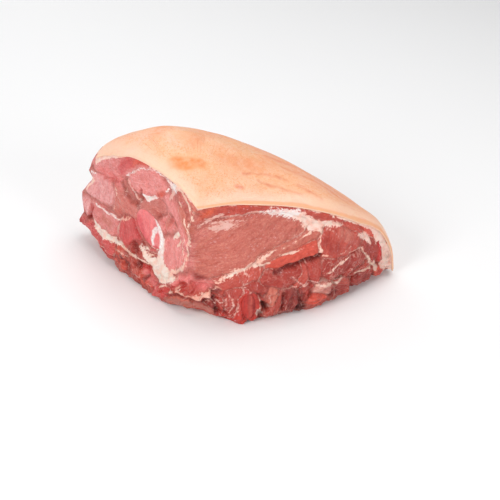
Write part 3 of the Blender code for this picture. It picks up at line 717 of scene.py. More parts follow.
# %% The two cuts, and the distance to a string
# A cut is rough where it is torn, its muscles swell like a pillow, and their tints meet in a blur.
# Its cap is the fat under the rind: how thick it is near the corner and far from it, where along
# the cut it starts to thicken, and the height and the distance at which it ends.
Cut = namedtuple("Cut", "way outward top muscles fats stains hollows cap rough pillow blur seed")
Cap = namedtuple("Cap", "near far start foot end")
LONG_CUT = Cut(
    LONG_WAY, LONG_OUTWARD, LONG_TOP, LONG_MUSCLES, LONG_FATS, LONG_STAINS_AND_SHADE, LONG_HOLLOWS,
    cap=Cap(0.6, 1.8, start=90, foot=25, end=math.inf), rough=1.0, pillow=1.5, blur=1.0, seed=11,
)
ARM_CUT = Cut(
    ARM_WAY, ARM_OUTWARD, ARM_TOP, ARM_MUSCLES, ARM_FATS, ARM_STAINS_AND_SHADE, ARM_HOLLOWS,
    cap=Cap(0.9, 4.8, start=92, foot=0, end=154), rough=0.55, pillow=0.8, blur=3.5, seed=12,
)


def string_distance(along, up, string):
    """Distance in millimetres from points of a cut to a string of discs, negative inside it."""
    nearest = np.full(np.shape(along), np.inf)
    for (ax, az, ar), (bx, bz, br) in zip(string, string[1:]):
        run = (bx - ax, bz - az)
        t = ((along - ax) * run[0] + (up - az) * run[1]) / (run[0] ** 2 + run[1] ** 2)
        t = np.clip(t, 0, 1)
        away = np.hypot(along - ax - t * run[0], up - az - t * run[1])
        nearest = np.minimum(nearest, away - ar - t * (br - ar))
    return nearest


# %% Muscles: their colour and their grain
def muscle_colours(cut, order, inside, nearest):
    """The tint of each point's muscle, blended across the seams and veiled where no muscle is."""
    # No two muscles are quite the same red.
    uneven = 1 + 0.07 * np.sin(5.3 * np.arange(len(cut.muscles)))
    tints = np.array([TINTS[muscle.tint] for muscle in cut.muscles]) * uneven[:, None]
    across_seam = 0.5 * (1 - ease(inside / cut.blur))
    colour = cross_fade(across_seam, tints[order[0]], tints[order[1]])
    return cross_fade(0.7 * ease(nearest / 5), colour, TINTS["veil"])


def muscle_grain(cut, order, along, up, flat):
    """Distances along and across the fibres of each point's muscle, which wave a little."""
    slope = np.radians([muscle.grain for muscle in cut.muscles])[order[0]]
    along = wander(along, flat, (2.0, 15, cut.seed + 4))
    up = wander(up, flat, (2.0, 15, cut.seed + 9))
    along_grain = along * np.cos(slope) + up * np.sin(slope)
    across_grain = up * np.cos(slope) - along * np.sin(slope)
    return np.stack([along_grain, across_grain], -1)


# %% Fat: the plan's strings, and the layer under the rind
NO_FAT = -9.0
CAP_RUN = 80


def cut_fat(cut, u, v, along, up, flat):
    """How deep each point lies in fat, in millimetres and negative outside it, and the fat's tint."""
    fat = np.full(along.shape, NO_FAT)
    tint = np.zeros(along.shape + (3,)) + TINTS["silver"]
    for seam in cut.fats:
        depth = -string_distance(u, v, seam.string) * seam.crisp
        tint[depth > fat] = TINTS[seam.tint]
        fat = np.maximum(fat, depth)
    thickness = cut.cap.near + (cut.cap.far - cut.cap.near) * rise(along, cut.cap.start, CAP_RUN)
    thickness = wander(thickness, flat, (0.6, 6, cut.seed + 5))
    below_rind = string_distance(along, up, [(x, z, 0.0) for x, z in cut.top[::8]])
    rind_here = (up > cut.cap.foot) & (along < cut.cap.end)
    under_rind = np.where(rind_here, thickness + RIND_THICKNESS - below_rind, NO_FAT)
    tint[under_rind > fat] = TINTS["fat_pink"]
    return np.maximum(fat, under_rind), tint


# %% Relief: swelling muscles, raised fat, torn folds and hollows
def uneven_relief(cut, up, flat, grain):
    """Lumps 7 and 3 mm across, and folds 9 mm across along the grain, all stronger low down."""
    across_layers = np.stack([grain[..., 0] * 0.3, grain[..., 1], np.zeros_like(up)], -1)
    folds = np.abs(lumps(across_layers, 9, cut.seed + 10))
    broad = (0.7 + 1.6 * cut.rough * fall(up, 45, 35)) * lumps(flat, 7, cut.seed + 6)
    small = (0.35 + 0.45 * cut.rough * fall(up, 40, 30)) * lumps(flat, 3, cut.seed + 7)
    return broad + small + 4.5 * cut.rough * (0.35 - folds) * fall(up, 54, 24)


def cut_relief(cut, u, v, up, grain, inside, nearest, fat):
    """Relief in millimetres of the muscles, the fat, the fibres and the hollows."""
    low = fall(up, 45, 20)
    pillow = (cut.pillow + 1.1 * cut.rough * low) * (1 - np.exp(-np.clip(inside, 0, None) / 2.2))
    relief = pillow * ease(1 - fat / 1.5) - 1.2 * ease(nearest / 4) + 1.6 * rise(fat, -0.5, 2.5)
    fibres = np.stack([grain[..., 0] / 9, grain[..., 1] / 1.8, np.zeros_like(up)], -1)
    # The fibres are raised only where no fat covers them.
    relief = relief + (0.28 + 0.3 * low) * lumps(fibres, 1, cut.seed + 8) * ease(-fat)
    for hollow in cut.hollows:
        relief = relief - hollow.depth * ease(1 - string_distance(u, v, hollow.string) / 3.0)
    return relief


# %% Reading a plan: everything that a cut shows at each point
# Fat is hidden under every mark of the plan, under painted shade as under a stain.
FAT_UNDER_STAIN_OR_SHADE = 4.0
# Painted shade: how much the low places of the relief are darkened, colour by colour.
CREASE_SHADE = np.array([0.16, 0.42, 0.42])


def read_cut(cut, along, up):
    """The relief of a cut, and the fields that the shader needs."""
    flat = np.stack([along, up, np.zeros_like(along)], -1)
    # Places on the plan are moved unevenly, so that no outline of a disc is left to see.
    u = wander(along, flat, (1.2, 9, cut.seed), (0.5, 3.5, cut.seed + 1))
    v = wander(up, flat, (1.2, 9, cut.seed + 2), (0.5, 3.5, cut.seed + 3))
    distances = np.array([string_distance(u, v, muscle.string) for muscle in cut.muscles])
    order = np.argsort(distances, axis=0)
    nearest, second = np.take_along_axis(distances, order[:2], 0)
    inside = (second - nearest) / 2
    colour = muscle_colours(cut, order, inside, nearest)
    grain = muscle_grain(cut, order, along, up, flat)
    fat, fat_tint = cut_fat(cut, u, v, along, up, flat)
    for stain_or_shade in cut.stains:
        share = ease(-string_distance(u, v, stain_or_shade.string) / stain_or_shade.feather + 1)
        colour = cross_fade(share, colour, TINTS[stain_or_shade.tint])
        fat = fat - FAT_UNDER_STAIN_OR_SHADE * share
    uneven = uneven_relief(cut, up, flat, grain)
    relief = cut_relief(cut, u, v, up, grain, inside, nearest, fat) + uneven
    # Painted shade: the low places of the uneven relief are made darker and redder.
    colour = colour * (1 - ease(-uneven / 2.2)[..., None] * CREASE_SHADE)
    marbling = np.array([muscle.marbling for muscle in cut.muscles])[order[0]]
    # The foot of a cut and its near edge are torn; a muscle without marbling tears more cleanly.
    torn_flesh = np.maximum(fall(up, 42, 22), 0.8 * fall(along, 16, 12))
    return dict(
        relief=relief, muscle=colour, fat_tint=fat_tint, seam=inside * (1 + cut.blur / 8), fat=fat,
        marble=marbling, stringy=torn_flesh * (0.3 + 0.7 * ease(marbling / 0.1)), grain=grain,
    )


# %% [markdown]
# ## The flesh
# The flesh is one closed skin of four fields of points that share their edges: the two cuts, the
# top that lies under the rind, and the rib side.  Sculpting or remeshing would lose the exact
# distance to each seam, so the fields are laid out by the functions above, raised by the
# relief of the cuts, and joined where their edges meet.  Round each bone the relief levels out
# and then sinks, which leaves a snug seat for the bone's plug.

# %% Bones: where they show in the cuts
Bone = namedtuple("Bone", "centre half tilt depth proud snug")
ARM_BONE = Bone((65.5, 64.5), (22.5, 17), math.radians(20), depth=60, proud=1.5, snug=0.97)
RIB_BONE = Bone((43, 21.5), (6.5, 14.5), math.radians(6), depth=42, proud=1.0, snug=0.88)


def bone_share(bone, along, up):
    """Distance from a bone's middle as a share of its oval outline: 1 on the outline."""
    across, above = along - bone.centre[0], up - bone.centre[1]
    a = across * math.cos(bone.tilt) + above * math.sin(bone.tilt)
    b = above * math.cos(bone.tilt) - across * math.sin(bone.tilt)
    return np.hypot(a / bone.half[0], b / bone.half[1])


# %% Rows and columns of a field that turns from cut to cut
COLUMNS = 240
FLESH_DEPTHS = (0, 2, 4.5, 8, 12, 17, 24)
FLESH_MIDDLE_ROWS = 44


def sweep_rows(depths, middle):
    """Turns from 0 to 1: rows at the given depths behind both cuts, and more between them."""
    near = 0.8 * (np.array(depths) / 150) ** (FOOTPRINT_SQUARENESS / 2)
    between = np.linspace(near[-1], 1 - near[-1], middle + 2)[1:-1]
    return np.concatenate([near, between, 1 - near[::-1]])


def field_places(turns, columns):
    """How far each point of a field has turned, and how far out it is, from 0 to 1."""
    return np.meshgrid(turns, np.linspace(0, 1, columns + 1), indexing="ij")


FLESH_TURNS = sweep_rows(FLESH_DEPTHS, FLESH_MIDDLE_ROWS)
print("the flesh has", len(FLESH_TURNS), "rows from cut to cut")

# %% The top of the flesh, under the rind
COVER_FADE = 0.012


def flesh_top(turn, out):
    """The flesh under the rind: the rind's surface, sunk by its thickness where it is covered."""
    grid = rind_surface(turn, out)
    covered = ease(1 + (rind_reach(turn) - out) / COVER_FADE)
    return grid - surface_normals(grid) * RIND_THICKNESS * covered[..., None]


# %% A cut as a field of points
CUT_ROWS = 112
BONE_LEVEL, BONE_LEVEL_FADE = 1.4, 0.3
SEAT_DEPTH, SEAT_WALL, BONE_STANDS = 5.0, 0.14, 0.2
CORNER_ROUNDING, CORNER_BITE = 10.0, 3.4
INWARD = -(ARM_OUTWARD + LONG_OUTWARD) / np.linalg.norm(ARM_OUTWARD + LONG_OUTWARD)


def seat_bone(bone, relief, along, up):
    """Levels the relief round a bone, and sinks it where the bone's plug sits."""
    from_bone = bone_share(bone, along, up)
    level = fall(from_bone, BONE_LEVEL, BONE_LEVEL_FADE)
    seat = fall(from_bone, bone.snug, SEAT_WALL)
    return cross_fade(seat, cross_fade(level, relief, bone.proud - BONE_STANDS), -SEAT_DEPTH)


def round_corner(along, flat, top_height):
    """How far each point beside the near corner is drawn in, so that the corner is soft."""
    share = np.clip(1 - along / CORNER_ROUNDING, 0, 1) ** 2 * fall(flat[..., 2], top_height, 12)
    return share * wander(CORNER_BITE, flat * (0, 0, 1), (1.2, 6, 21))


def cut_field(cut, bone, top, foot):
    """A cut between its foot and its top, raised by its relief, with its fields for the shader."""
    share = np.linspace(0, 1, CUT_ROWS + 1)[:, None, None]
    flat = cross_fade(share, foot, top)
    along, up = flat[..., 0] * cut.way[0] + flat[..., 1] * cut.way[1], flat[..., 2]
    fields = read_cut(cut, along, up)
    sides = np.minimum(ease(along / 5), fall(along, along[:, -1:], 4))
    edge = np.minimum(sides, fall(up, top[None, :, 2], 2.5))
    relief = seat_bone(bone, fields.pop("relief") * edge, along, up)
    points = belly(flat)
    points[..., :2] += cut.outward * relief[..., None]
    points[..., :2] += INWARD * round_corner(along, flat, top[0, 2])[..., None]
    return points, fields


# %% Flesh that no plan describes
def side_fields(points, darker):
    """Fields for the rib side and the trimmed back: blotches of lean flesh and of fat."""
    patch = ease(lumps(points, 17, 31) + 0.5)[..., None]
    spot = ease(lumps(points, 7, 32))[..., None]
    colour = cross_fade(patch, TINTS["rose"], TINTS["blush"]) * (1 - 0.35 * spot) * darker
    fat = 2.6 * lumps(points * (1, 1, 0.6), 13, 33) - 0.9
    shape = points.shape[:-1]
    grain = np.stack([points[..., 0], points[..., 2] + 0.4 * points[..., 1]], -1)
    return dict(
        muscle=colour, fat_tint=np.zeros(points.shape) + TINTS["cream"], seam=np.full(shape, 6.0), fat=fat,
        marble=np.full(shape, 0.3), stringy=np.full(shape, 0.7), grain=grain,
    )


# %% Joining the fields into one closed mesh
def weld(grids):
    """Joins grids of points at their shared edges: points, faces, and where each point came from."""
    flat = np.concatenate([grid.reshape(-1, 3) for grid in grids])
    _, first, renamed = np.unique(np.round(flat, 3), axis=0, return_index=True, return_inverse=True)
    renamed = renamed.reshape(-1)
    faces, start = [], 0
    for grid in grids:
        rows, columns = grid.shape[:2]
        index = start + np.arange(rows * columns).reshape(rows, columns)
        start += rows * columns
        quads = np.stack([index[:-1, :-1], index[:-1, 1:], index[1:, 1:], index[1:, :-1]], -1).reshape(-1, 4)
        faces.extend(renamed[quads].tolist())
    return flat[first], [tidy_face(face) for face in faces], first


def tidy_face(face):
    """A face without the corners that it has twice, where a grid shrinks to a point."""
    kept = []
    for corner in face:
        if corner not in kept:
            kept.append(corner)
    return kept


# %% A mesh that keeps its fields on its points
KINDS = {1: ("FLOAT", "value", None), 2: ("FLOAT_VECTOR", "vector", 0.0), 3: ("FLOAT_COLOR", "color", 1.0)}


def store_field(data, name, values):
    """Stores a number, a pair of numbers or a colour on each point of a mesh."""
    kind, slot, last = KINDS[1 if values.ndim == 1 else values.shape[1]]
    if last is not None:
        values = np.column_stack([values, np.full(len(values), last)])
    data.attributes.new(name, kind, "POINT").data.foreach_set(slot, values.astype(np.float32).ravel())


def turn_outwards(data):
    """Makes every face of a closed mesh point outwards."""
    mesh = bmesh.new()
    mesh.from_mesh(data)
    bmesh.ops.recalc_face_normals(mesh, faces=mesh.faces)
    mesh.to_mesh(data)
    mesh.free()


def make_mesh(name, sources):
    """Welds fields of points into one smooth mesh in metres, at its place in the frame."""
    points, faces, first = weld([grid for grid, _ in sources])
    data = bpy.data.meshes.new(name)
    place = (points + np.array([*NEAR_CORNER, 0.0])) * MM
    data.from_pydata(place.tolist(), [], [face for face in faces if len(face) > 2])
    data.validate()
    for field in sources[0][1]:
        parts = [values[field].reshape(grid.shape[0] * grid.shape[1], -1) for grid, values in sources]
        store_field(data, field, np.concatenate(parts)[first].squeeze())
    data.shade_smooth()
    turn_outwards(data)
    made = bpy.data.objects.new(name, data)
    bpy.context.scene.collection.objects.link(made)
    triangles = sum(len(face.vertices) - 2 for face in data.polygons)
    print(name, "has", len(data.vertices), "points and", triangles, "triangles")
    return made


# %% Laying out the flesh
CORNER_BLEND = 9.0


def build_flesh():
    """The flesh as one closed skin: two cuts, the top under the rind, and the rib side."""
    turn, out = field_places(FLESH_TURNS, COLUMNS)
    top, below = flesh_top(turn, out), rib_side_surface(turn, out)
    below[:, -1] = top[:, -1]
    below[:, 0] = below[0, 0]
    long_face, long_fields = cut_field(LONG_CUT, RIB_BONE, top[0], below[0])
    arm_face, arm_fields = cut_field(ARM_CUT, ARM_BONE, top[-1], below[-1])
    near_corner = ease(1 - np.linalg.norm(long_face - long_face[:, :1], axis=-1) / CORNER_BLEND)
    for field in ("muscle", "fat_tint", "seam", "fat", "stringy"):
        long_fields[field] = cross_fade(near_corner, long_fields[field], arm_fields[field][:, :1])
    top, below = belly(top), belly(below)
    below[0], below[-1] = long_face[0], arm_face[0]
    return make_mesh("flesh", [
        (long_face, long_fields),
        (arm_face, arm_fields),
        (top, side_fields(top, 1.0)),
        (below, side_fields(below, 0.8)),
    ])


flesh = build_flesh()

# %% [markdown]
# ## The rind
# The rind is a separate hide about two millimetres thick, so its cut edge catches the light
# as a pale line above the meat.  A Solidify modifier could thicken one surface, but it would not
# round the lip.  So the rind is a closed sheet: an outer surface, an inner surface that lies on
# the flesh, and walls between them.  Rows of points crowd together at the cuts, where the lip is
# rounded, and are far apart on the smooth crown.

# %% Marks on the rind, placed as seen from above
RIND_TINTS = {
    "peach": srgb(248, 192, 156), "cream": srgb(247, 194, 167), "salmon": srgb(244, 173, 142),
    "butter": srgb(250, 204, 178), "orange": srgb(230, 138, 66), "flush": srgb(244, 170, 130),
    "red": srgb(238, 156, 128), "line": srgb(236, 150, 116), "brown": srgb(238, 174, 130),
}
RIND_MARKS = (
    # Painted light: the next broad pale mark lightens the rind's left crown, which faces the light from the
    # left.
    Stain("cream", 40.0, ((-30, 110, 12), (-45, 150, 20))),
    Stain("cream", 10.0, ((24, 78, 2), (12, 70, 3), (5, 84, 2))),
    Stain("salmon", 60.0, ((150, 90, 20), (190, 60, 25), (215, 20, 10))),
    # Painted shade: the next mark reddens the rind along its far outline, as the shade at a grazing angle
    # does.
    Stain("salmon", 16.0, ((40, 122, 8), (80, 108, 8), (120, 84, 6))),
    Stain("butter", 12.0, ((20, 6, 2), (60, 5, 3), (110, 4, 2))),
    Stain("orange", 11.0, ((-1, 50, 0.5), (10, 47, 2.0), (20, 45, 0.5))),
    Stain("flush", 12.0, ((50, 52, 2), (64, 45, 4), (80, 49, 3), (96, 57, 1))),
    Stain("flush", 12.0, ((22, 74, 1), (34, 84, 3), (52, 98, 2))),
    Stain("flush", 10.0, ((-2, 100, 2), (14, 116, 3))),
    Stain("red", 4.5, ((48, 19, 0.8), (50, 18, 0.8))),
    Stain("flush", 4.0, ((6, 1.5, 0.3), (40, 1.5, 0.6), (90, 1.5, 0.6), (150, 1.0, 0.4))),
    Stain("line", 2.8, ((72, 27, 0.0), (95, 20, 0.3), (109, 12, 0.0))),
    Stain("line", 3.2, ((108, 51, 0.0), (132, 40, 0.4), (147, 27, 0.4), (158, 15, 0.0))),
    Stain("line", 2.6, ((110, 25, 0.0), (127, 9, 0.2))),
    Stain("line", 4.5, ((100, 66, 0.0), (128, 58, 0.6), (152, 42, 0.3), (172, 24, 0.0))),
    Stain("line", 2.6, ((60, 36, 0.0), (84, 37, 0.2), (104, 30, 0.0))),
    Stain("line", 3.5, ((140, 66, 0.0), (168, 50, 0.4), (190, 28, 0.0))),
    Stain("brown", 2.6, ((-26, 115, 0.3), (-25, 116, 0.3))),
    Stain("brown", 2.6, ((-36, 124, 0.3), (-34, 124, 0.4))),
    Stain("brown", 3.0, ((-18, 84, 0.3), (-15, 86, 0.3))),
    Stain("brown", 2.6, ((-18, 109, 0.3), (-17, 109, 0.3))),
)

# %% Colours of the rind
BROAD_MARK = 15.0


def rind_colours(points):
    """The rind's colour at each point.  Broad marks are even, and small ones are broken up."""
    u = wander(points[..., 0], points, (3.0, 14, 44), (1.0, 5, 46))
    v = wander(points[..., 1], points, (3.0, 14, 45), (1.0, 5, 47))
    broken = wander(0.75, points, (0.35, 5, 48), (0.25, 2.4, 49))
    colour = np.zeros(points.shape) + RIND_TINTS["peach"]
    for mark in RIND_MARKS:
        share = ease(1 - string_distance(u, v, mark.string) / mark.feather)
        share = share * (broken if mark.feather < BROAD_MARK else 0.9)
        colour = cross_fade(share, colour, RIND_TINTS[mark.tint])
    return colour


# %% The rind's lip and its gentle unevenness
LIP, LIP_FADE = 0.7, 1.5
LIP_ROUNDING = 1.3


def rind_swell(outer, edge, low_edge):
    """How far the outer surface stands out: soft waves, and less at its rounded lip."""
    swell = wander(0.0, outer, (1.1, 46, 41), (0.45, 19, 42), (0.15, 8, 43))
    swell = swell * ease(edge / 12) * ease(low_edge / 10)
    rounded = np.clip(1 - np.minimum(edge, low_edge) / LIP_ROUNDING, 0, 1)
    return swell - LIP_ROUNDING * (1 - np.sqrt(1 - rounded**2)) * 0.8


def stand_proud(grid, from_long_cut, from_arm_cut, share):
    """Pushes the rind's edges a little way out over both cuts, except at the very corner."""
    away = ease(share / 0.03)
    grid[..., 1] -= LIP * np.exp(-from_long_cut / LIP_FADE) * away
    lip = LIP * np.exp(-np.clip(from_arm_cut, 0, None) / LIP_FADE) * away
    grid[..., :2] += ARM_OUTWARD * lip[..., None]


# %% The rind as a closed sheet
RIND_COLUMNS = 200
RIND_DEPTHS = (0, 0.25, 0.6, 1.0, 1.6, 2.6, 4.2, 6.5, 9.5, 13)
RIND_MIDDLE_ROWS = 124
STREAK_AROUND, STREAK_OUT = 250, 22
RIND_FALL = 200
WALL_LIP = 9.0


def wall_between(outside, inside):
    """The thin wall that joins the outer surface to the inner one, with its fields."""
    grid = np.stack([outside, 0.5 * (outside + inside), inside])
    shape = grid.shape[:2]
    return grid, dict(
        edge=np.zeros(shape), lip=np.full(shape, WALL_LIP), streak=np.zeros(shape + (2,)),
        rind_tint=np.zeros(grid.shape) + RIND_TINTS["butter"],
    )


def build_rind():
    """The rind: an outer and an inner surface, and walls along both cuts and the low edge."""
    turn, share = field_places(sweep_rows(RIND_DEPTHS, RIND_MIDDLE_ROWS), RIND_COLUMNS)
    out = share * rind_reach(turn)
    surface = rind_surface(turn, out)
    normals = surface_normals(surface)
    from_long_cut = surface[..., 1]
    _, from_arm_cut = arm_place(surface[..., 0], surface[..., 1])
    edge = np.clip(np.minimum(from_long_cut, from_arm_cut), 0, None)
    streak = np.stack([turn * STREAK_AROUND, out * STREAK_OUT], -1)
    fields = dict(edge=edge, lip=from_long_cut, streak=streak, rind_tint=rind_colours(surface))
    outer = surface + normals * rind_swell(surface, edge, (1 - share) * RIND_FALL)[..., None]
    inner = surface - normals * RIND_THICKNESS
    for grid in (outer, inner):
        stand_proud(grid, from_long_cut, from_arm_cut, share)
    outer, inner = belly(outer), belly(inner)
    rims = ((outer[0], inner[0]), (outer[-1], inner[-1]), (outer[:, -1], inner[:, -1]))
    return make_mesh("rind", [(outer, fields), (inner, fields), *(wall_between(*rim) for rim in rims)])


rind = build_rind()

# %% [markdown]
# ## The sawn bones
# The arm bone was sawn through near its head, where it is spongy and red with marrow under a thin
# white shell, and the rib end is a narrow slab.  A squashed cylinder would do for the shape, but
# its flat cap has no points inside it to roughen.  So each bone is an oval plug made of rings,
# from the middle of its sawn face to its hidden end.

# %% Colours of the sawn faces
BONE_TINTS = {
    "marrow": srgb(236, 122, 122), "deep": srgb(222, 92, 96), "shell": srgb(247, 232, 228),
    "rib": srgb(188, 46, 36), "rib_pale": srgb(188, 74, 62), "rib_dark": srgb(154, 32, 26),
}
ARM_BONE_MARKS = (
    # Painted shade: the deep marks darken the lower right and the lower edge of the sawn face.
    Stain("deep", 6.0, ((84, 66, 3), (80, 54, 3), (70, 49, 2))),
    Stain("shell", 1.0, ((57, 79, 1.6), (51, 74, 3.4), (47.5, 66, 4.2), (47, 57, 3), (50, 51, 2))),
    Stain("shell", 1.0, ((56, 69, 1.8), (61, 64, 1.8), (62, 55, 1.6), (61, 50, 1))),
    Stain("marrow", 1.0, ((53.5, 62, 2.4), (56, 55, 3.4))),
    # Painted shade along the lower edge of the sawn face.
    Stain("deep", 1.5, ((53, 49.5, 1), (60, 47.5, 1))),
)
RIB_BONE_MARKS = (
    Stain("rib_pale", 3.0, ((44, 34, 0.4), (44, 22, 0.8), (45, 10, 0.8))),
    Stain("rib_dark", 2.4, ((48, 30, 0.3), (49, 20, 0.8), (48, 9, 0.4))),
)

# %% The rings of an oval plug
BONE_SIDES = 96
FACE_RINGS = 16
FACE_SHARE = 0.9
EDGE_RINGS = ((0.955, 0.35), (0.985, 1.0), (1.0, 2.2))
HIDDEN_RINGS = ((0.95, 0.3), (0.86, 0.7), (0.72, 1.0), (0.0, 1.0))


def bone_rings(bone):
    """Each ring's share of the outline and how far out it lies: face, soft edge, hidden end."""
    face = [(share, bone.proud) for share in np.linspace(0, FACE_SHARE, FACE_RINGS)]
    edge = [(share, bone.proud - drop) for share, drop in EDGE_RINGS]
    return face + edge + [(share, -part * bone.depth) for share, part in HIDDEN_RINGS]


def bone_outline(bone):
    """A slightly uneven oval, tilted: places sideways and upwards from the bone's middle."""
    angle = np.linspace(0, 2 * math.pi, BONE_SIDES + 1)
    angle[-1] = 0.0
    uneven = 1 + 0.05 * np.sin(2 * angle + 0.6) + 0.03 * np.sin(3 * angle)
    across, above = bone.half[0] * uneven * np.cos(angle), bone.half[1] * uneven * np.sin(angle)
    sideways = across * math.cos(bone.tilt) - above * math.sin(bone.tilt)
    return sideways, across * math.sin(bone.tilt) + above * math.cos(bone.tilt)


# %% Colours of a sawn face
Face = namedtuple("Face", "ground marks streaks seed")
ARM_FACE = Face("marrow", ARM_BONE_MARKS, 0.08, 51)
RIB_FACE = Face("rib", RIB_BONE_MARKS, 0.15, 55)


def bone_colours(face, along, up):
    """The colour of each point of a plug: its ground, its marks, and streaks that run upwards."""
    flat = np.stack([along, up, np.zeros_like(up)], -1)
    colour = np.zeros(flat.shape) + BONE_TINTS[face.ground]
    u = wander(along, flat, (0.8, 5, face.seed + 2))
    v = wander(up, flat, (0.8, 5, face.seed + 3))
    for mark in face.marks:
        share = ease(1 - string_distance(u, v, mark.string) / mark.feather)
        colour = cross_fade(share, colour, BONE_TINTS[mark.tint])
    return colour * (1 + face.streaks * lumps(flat * (1.0, 0.14, 1.0), 1.4, face.seed + 5)[..., None])


# %% A plug at its place in a cut
def build_bone(name, bone, cut, face):
    """An oval plug whose sawn face is gritty and stands a little proud of the flesh."""
    shares, places = np.array(bone_rings(bone)).T[:, :, None]
    sideways, upwards = (shares * reach for reach in bone_outline(bone))
    on_face = np.stack([sideways, upwards, np.zeros_like(sideways)], -1)
    grit = wander(0.0, on_face, (0.45, 4, face.seed), (0.2, 1.6, face.seed + 1))
    outwards = places + grit * (places > 0)
    middle = belly(np.array([*(bone.centre[0] * cut.way), bone.centre[1]]))
    ground = middle[:2] + cut.way * sideways[..., None] + cut.outward * outwards[..., None]
    points = np.concatenate([ground, middle[2] + upwards[..., None]], -1)
    colour = bone_colours(face, bone.centre[0] + sideways, bone.centre[1] + upwards)
    return make_mesh(name, [(points, dict(bone_tint=colour))])


arm_bone = build_bone("arm_bone_cut", ARM_BONE, ARM_CUT, ARM_FACE)
rib_bone = build_bone("rib_bone_cut", RIB_BONE, LONG_CUT, RIB_FACE)

# %% [markdown]
# ## Shader groups
# Two effects are used by more than one material, so each is a node group with named inputs.
# Mottle gives a soft blotchy mask.  Wet film gives the uneven roughness of a moist surface and
# the tiny height of its grain, for a Bump node.  Nodes could be placed by hand in the editor, but
# short functions that return a socket let a material be read like a recipe.


# %% Adding a node
def add_node(tree, kind, inputs=(), **settings):
    """Adds a node, sets its properties, and joins or sets its inputs by name or number."""
    made = tree.nodes.new(kind)
    for setting, value in settings.items():
        setattr(made, setting, value)
    for socket, value in dict(inputs).items():
        if isinstance(value, bpy.types.NodeSocket):
            tree.links.new(value, made.inputs[socket])
        else:
            made.inputs[socket].default_value = value
    return made


# %% Sums and ramps over sockets or numbers
def sums(tree, operation, *values):
    """A Math node over sockets or numbers."""
    return add_node(tree, "ShaderNodeMath", dict(enumerate(values)), operation=operation).outputs[0]


def times(tree, *values):
    """The product of several sockets or numbers."""
    product = values[0]
    for value in values[1:]:
        product = sums(tree, "MULTIPLY", product, value)
    return product


def ramp(tree, value, low, high, to_low=0.0, to_high=1.0):
    """Maps a value smoothly from one range to another."""
    inputs = {"Value": value, "From Min": low, "From Max": high, "To Min": to_low, "To Max": to_high}
    return add_node(tree, "ShaderNodeMapRange", inputs, interpolation_type="SMOOTHSTEP").outputs[0]


# %% Mixing colours
MIX_SHARE, MIX_FIRST, MIX_SECOND, MIX_RESULT = 0, 6, 7, 2


def blend(tree, share, first, second, blend_type="MIX"):
    """Mixes two colours, each a socket or red, green and blue, and returns the result."""
    inputs = {MIX_SHARE: share, MIX_FIRST: first, MIX_SECOND: second}
    for socket in (MIX_FIRST, MIX_SECOND):
        if not isinstance(inputs[socket], bpy.types.NodeSocket):
            inputs[socket] = (*inputs[socket], 1.0)
    mix = add_node(tree, "ShaderNodeMix", inputs, data_type="RGBA", blend_type=blend_type)
    return mix.outputs[MIX_RESULT]


def shade(tree, share, colour, factors):
    """Multiplies a colour by red, green and blue factors, as far as share says."""
    return blend(tree, share, colour, blend(tree, 1.0, colour, factors, "MULTIPLY"))


# %% Textures and places
def noise(tree, vector, scale=1.0, detail=3.0, roughness=0.5, distortion=0.0):
    """The value of a noise texture."""
    inputs = {"Vector": vector, "Scale": scale, "Detail": detail, "Roughness": roughness}
    inputs["Distortion"] = distortion
    return add_node(tree, "ShaderNodeTexNoise", inputs).outputs["Fac"]


def object_place(tree):
    """Where a point of the piece lies, in metres."""
    return add_node(tree, "ShaderNodeTexCoord").outputs["Object"]


def stretch(tree, vector, along, across):
    """Scales a vector so that a texture has the given grain size along and across."""
    inputs = {"Vector": vector, "Scale": (1 / along, 1 / across, 1.0)}
    return add_node(tree, "ShaderNodeMapping", inputs).outputs[0]


# %% Group: mottle
def open_group(name, inputs, outputs):
    """A new node group with float inputs and float outputs."""
    group = bpy.data.node_groups.new(name, "ShaderNodeTree")
    for label, start in inputs.items():
        socket = group.interface.new_socket(label, in_out="INPUT", socket_type="NodeSocketFloat")
        socket.default_value = start
    for label in outputs:
        group.interface.new_socket(label, in_out="OUTPUT", socket_type="NodeSocketFloat")
    entry = group.nodes.new("NodeGroupInput")
    leave = group.nodes.new("NodeGroupOutput")
    return group, entry.outputs, leave.inputs


def make_mottle():
    """A blotchy mask: 0 where the noise is below Low, and 1 where it is above High."""
    group, given, result = open_group("mottle", {"Size mm": 8.0, "Low": 0.45, "High": 0.65}, ["Mask"])
    scale = sums(group, "DIVIDE", 1000.0, given["Size mm"])
    cloudy = noise(group, object_place(group), scale, roughness=0.55)
    group.links.new(ramp(group, cloudy, given["Low"], given["High"]), result["Mask"])
    return group


# %% Group: wet film
def make_wet_film():
    """The uneven roughness of a moist surface, and the height of its grain."""
    wanted = {"Grain mm": 0.8, "Dry": 0.55, "Wet": 0.25}
    group, given, result = open_group("wet_film", wanted, ["Roughness", "Height"])
    place = object_place(group)
    fine = sums(group, "DIVIDE", 1000.0, given["Grain mm"])
    wetness = ramp(group, noise(group, place, 160.0, detail=2.0), 0.42, 0.62)
    spread = sums(group, "SUBTRACT", given["Wet"], given["Dry"])
    rough = sums(group, "MULTIPLY_ADD", wetness, spread, given["Dry"])
    group.links.new(rough, result["Roughness"])
    group.links.new(noise(group, place, fine, detail=4.0, roughness=0.6), result["Height"])
    return group


MOTTLE = make_mottle()
WET_FILM = make_wet_film()
print("the shader groups are", MOTTLE.name, "and", WET_FILM.name)


# %% Placing the groups in a material
def place_group(tree, group, inputs):
    """A node group in a material, with its own values; returns its outputs."""
    made = add_node(tree, "ShaderNodeGroup", node_tree=group)
    for label, value in inputs.items():
        made.inputs[label].default_value = value
    return made.outputs


